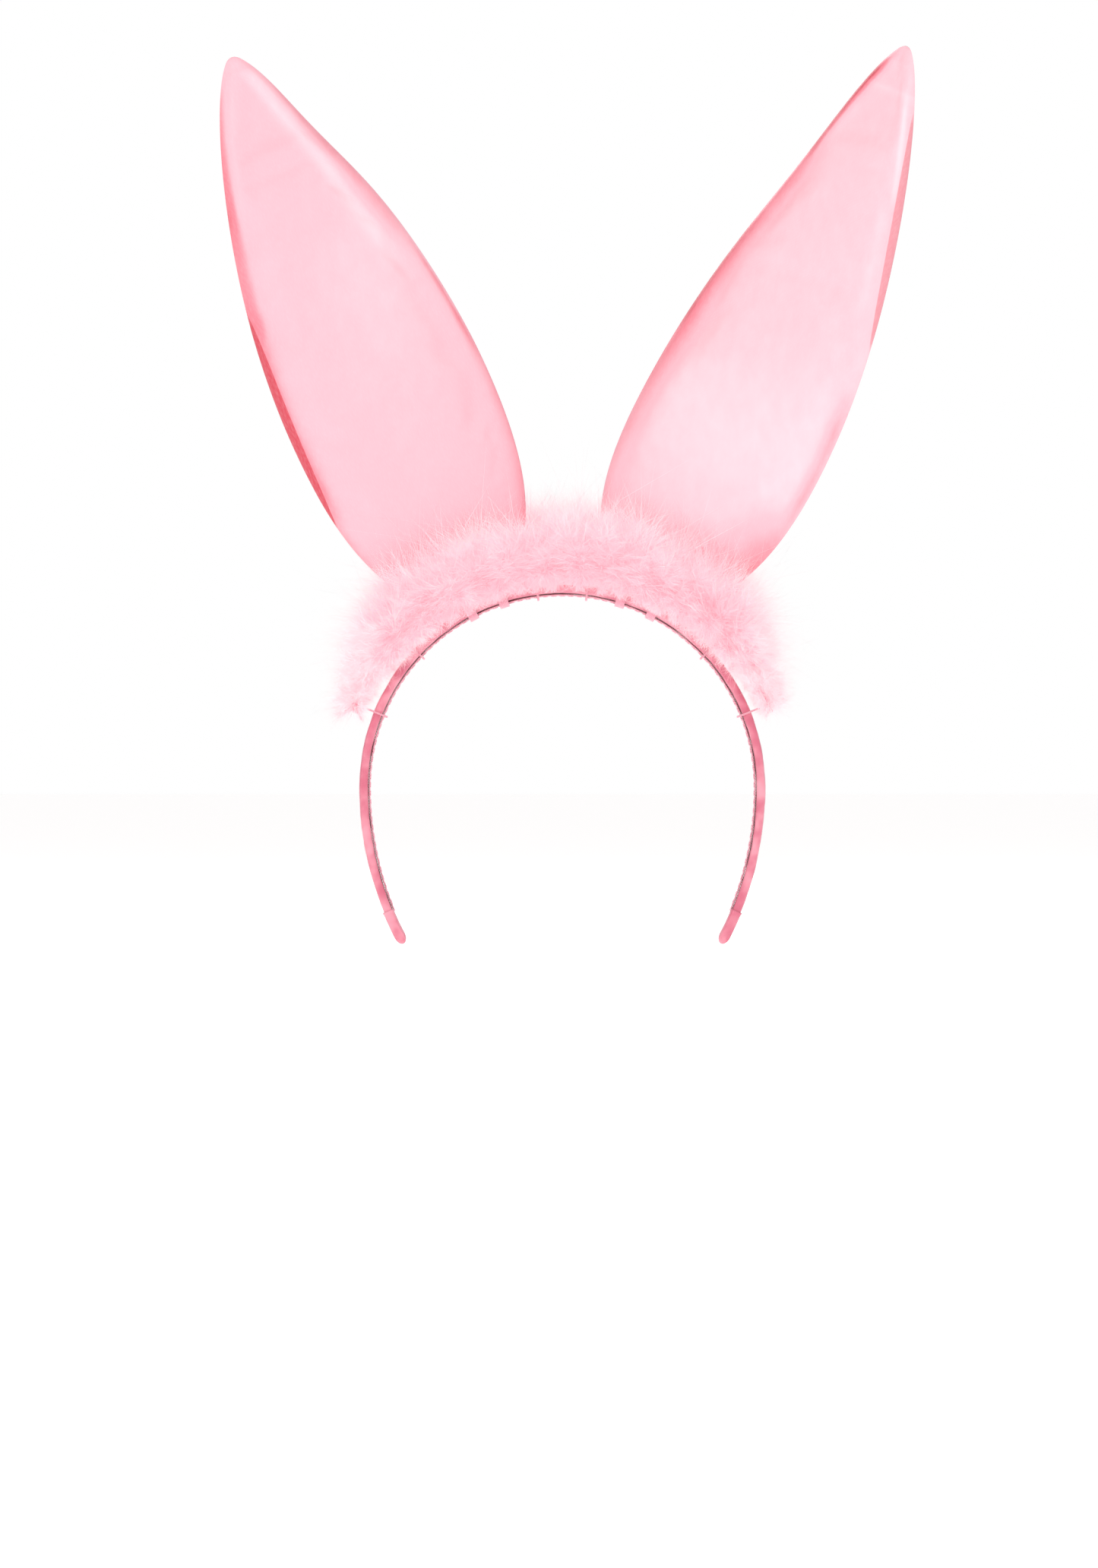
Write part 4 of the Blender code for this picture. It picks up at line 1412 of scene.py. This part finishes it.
def grow_barbs(rng, start, end):
    """Roots, directions, bends, lengths and feather tones of one stretch, in band space."""
    span = math.radians(end - start) * CROWN_RADIUS
    count = round(span / MM * FEATHERS_PER_MM)
    along = span * (np.arange(count) + rng.random(count)) / count
    along = math.radians(start) * CROWN_RADIUS + along
    low_ones = rng.random(count) < LOW_FEATHERS
    low_angles, high_angles = (rng.uniform(*span, count) for span in (LOW_ANGLES, HIGH_ANGLES))
    angle = np.radians(np.where(low_ones, low_angles, high_angles))
    lean = rng.normal(0, LEAN_SPREAD, count)
    quill = unit(np.stack([np.tan(np.clip(lean, -1.1, 1.1)), np.cos(angle), np.sin(angle)], 1))
    reach = reach_towards(angle) * rng.uniform(0.68, 1.12, count) * end_scale(along)
    tone = rng.normal(0, 1, count)
    root = np.stack([along, np.full(count, STRING_SIDE), np.full(count, STRING_OUT)], 1)

    shape = (count, BARBS_PER_FEATHER)
    up_quill = rng.random(shape) ** 0.8 * QUILL_SHARE
    way = unit(rng.normal(0, 1, (*shape, 3)))
    way = unit(way - quill[:, None] * (way * quill[:, None]).sum(-1, keepdims=True))
    opening = rng.uniform(*OPENING_ANGLES, shape) * (1.15 - up_quill / QUILL_SHARE * 0.6)
    opening = np.radians(opening)
    forward = np.cos(opening)[..., None] * quill[:, None] + np.sin(opening)[..., None] * way
    base = root[:, None] + quill[:, None] * (up_quill * reach[:, None])[..., None]
    long = rng.random(shape) < LONG_BARBS
    length = (reach[:, None] * (1 - up_quill)) * rng.uniform(0.55, 1.0, shape)
    length = np.where(long, length * LONG_TIMES, length)
    curl = unit(quill[:, None] * 0.5 + rng.normal(0, 0.55, (*shape, 3)) - np.array((0, 0, 0.12)))
    bend = curl * (rng.uniform(0.10, 0.42, shape) + long * 0.3)[..., None]
    rows = [values.reshape(-1, 3) for values in (base, forward, bend)]
    return (*rows, length.reshape(-1), np.repeat(tone, BARBS_PER_FEATHER))


def keep_off_head(points):
    """Lays barbs along the head and over the band where they would pass through."""
    side, out = points[..., 1], points[..., 2]
    floor = HEAD_CLEARANCE + 0.10 * np.abs(out - HEAD_CLEARANCE)
    over_band = np.abs(side) < BAND_HALF
    floor = np.where(over_band, np.maximum(floor, BAND_CLEARANCE), floor)
    above = out - floor
    points[..., 2] = floor + (above + np.sqrt(above**2 + SOFT_LANDING**2)) / 2
    points[..., 1] = SIDE_LIMIT * np.tanh(side / SIDE_LIMIT * 0.98) / 0.92
    return points


def keep_off_ears(points, sign):
    """Pushes barbs to their own side of each ear's satin."""
    for side in SIDES:
        from_tip, across, depth = out_of_ear(side, points)
        length = EAR_LENGTH[side]
        half = half_width(side, np.clip(from_tip, 0, length))
        inside = (from_tip < length + PIVOT_TO_EAR) & (np.abs(across) < half + EAR_MARGIN)
        wanted = EAR_CLEARANCE + 0.15 * np.abs(depth)
        short = inside & (depth * sign < wanted)
        _, twist = ear_bend(side, 1 - from_tip / length)
        shift = np.where(short, (wanted - depth * sign) / np.cos(twist), 0)
        points[..., 1] += sign * shift
    return points

# %% [markdown]
# ## Down on both strings
#
# The two rows are grown alike: the front one is the same recipe mirrored, with other random numbers.
# Every barb is bent over the head and pushed to its own side of the satin. Two values stay with
# its points, how far out they lie and the tint of their feather, and the finish reads them: the first
# gives painted shade deep in the trim and paler barb ends, the second a random tint with the trim's
# ends painted paler as painted light.

# %% Both rows


def make_down(row, sign, name, start, end, seed):
    """One stretch of one row, in place of its CAD plumes."""
    rng = np.random.default_rng(seed)
    base, forward, bend, length, tones = grow_barbs(rng, start, end)
    height = BARB_POINTS[:, 2]
    centre = base[:, None] + length[:, None, None] * (
        forward[:, None] * height[None, :, None] + bend[:, None] * (height**2)[None, :, None]
    )
    first = unit(np.cross(forward, rng.normal(0, 1, forward.shape)))
    second = np.cross(forward, first)
    tufted = rng.random(len(base)) < THICK_BARBS
    thick = BARB_RADIUS * np.where(tufted, THICK_TIMES, rng.uniform(0.7, 1.2, len(base)))
    ring = first[:, None] * BARB_POINTS[:, 0:1] + second[:, None] * BARB_POINTS[:, 1:2]
    centre = keep_off_head(centre)
    # How far out a point lies: deep in the trim the down is painted in shade, and the barbs' ends are
    # paler.
    away = np.hypot(centre[..., 1] - STRING_SIDE, centre[..., 2] - STRING_OUT)
    away = away / (PALE_AT * end_scale(centre[..., 0]))
    pale = 0.4 * height + 0.6 * np.clip(away, 0, 1.3)
    flesh = BARB_TAPER * ring * thick[:, None, None]
    centre[..., 1] *= sign
    flesh[..., 1] *= sign
    # Painted light: feathers towards the trim's ends get a paler tint.
    tones = tones + END_PAINTED_LIGHT * (1 - end_scale(base[:, 0])) / END_SHORTENS
    points = on_band(centre[..., 0], centre[..., 1], centre[..., 2])
    points = keep_off_ears(points, sign) + flesh
    faces = BARB_FACES[:, ::-1] if sign < 0 else BARB_FACES
    piece = mesh_of_copies(f"{row}_down_{name}", points, faces, DOWN)
    spread = np.broadcast_to(tones[:, None], points.shape[:2])
    for label, values in (("tip", pale), ("feather", spread)):
        layer = piece.data.attributes.new(label, "FLOAT", "POINT")
        layer.data.foreach_set("value", values.astype(np.float32).reshape(-1))
    declare(piece, "headband", "marabou", f"{row}_plumes_{name}")
    print(piece.name, len(piece.data.polygons), "triangles")


FIRST_SEED = 101
stretches = [(row, sign, *span) for row, sign in ROWS.items() for span in PLUME_SECTIONS]
for seed, stretch in enumerate(stretches, FIRST_SEED):
    make_down(*stretch, seed)
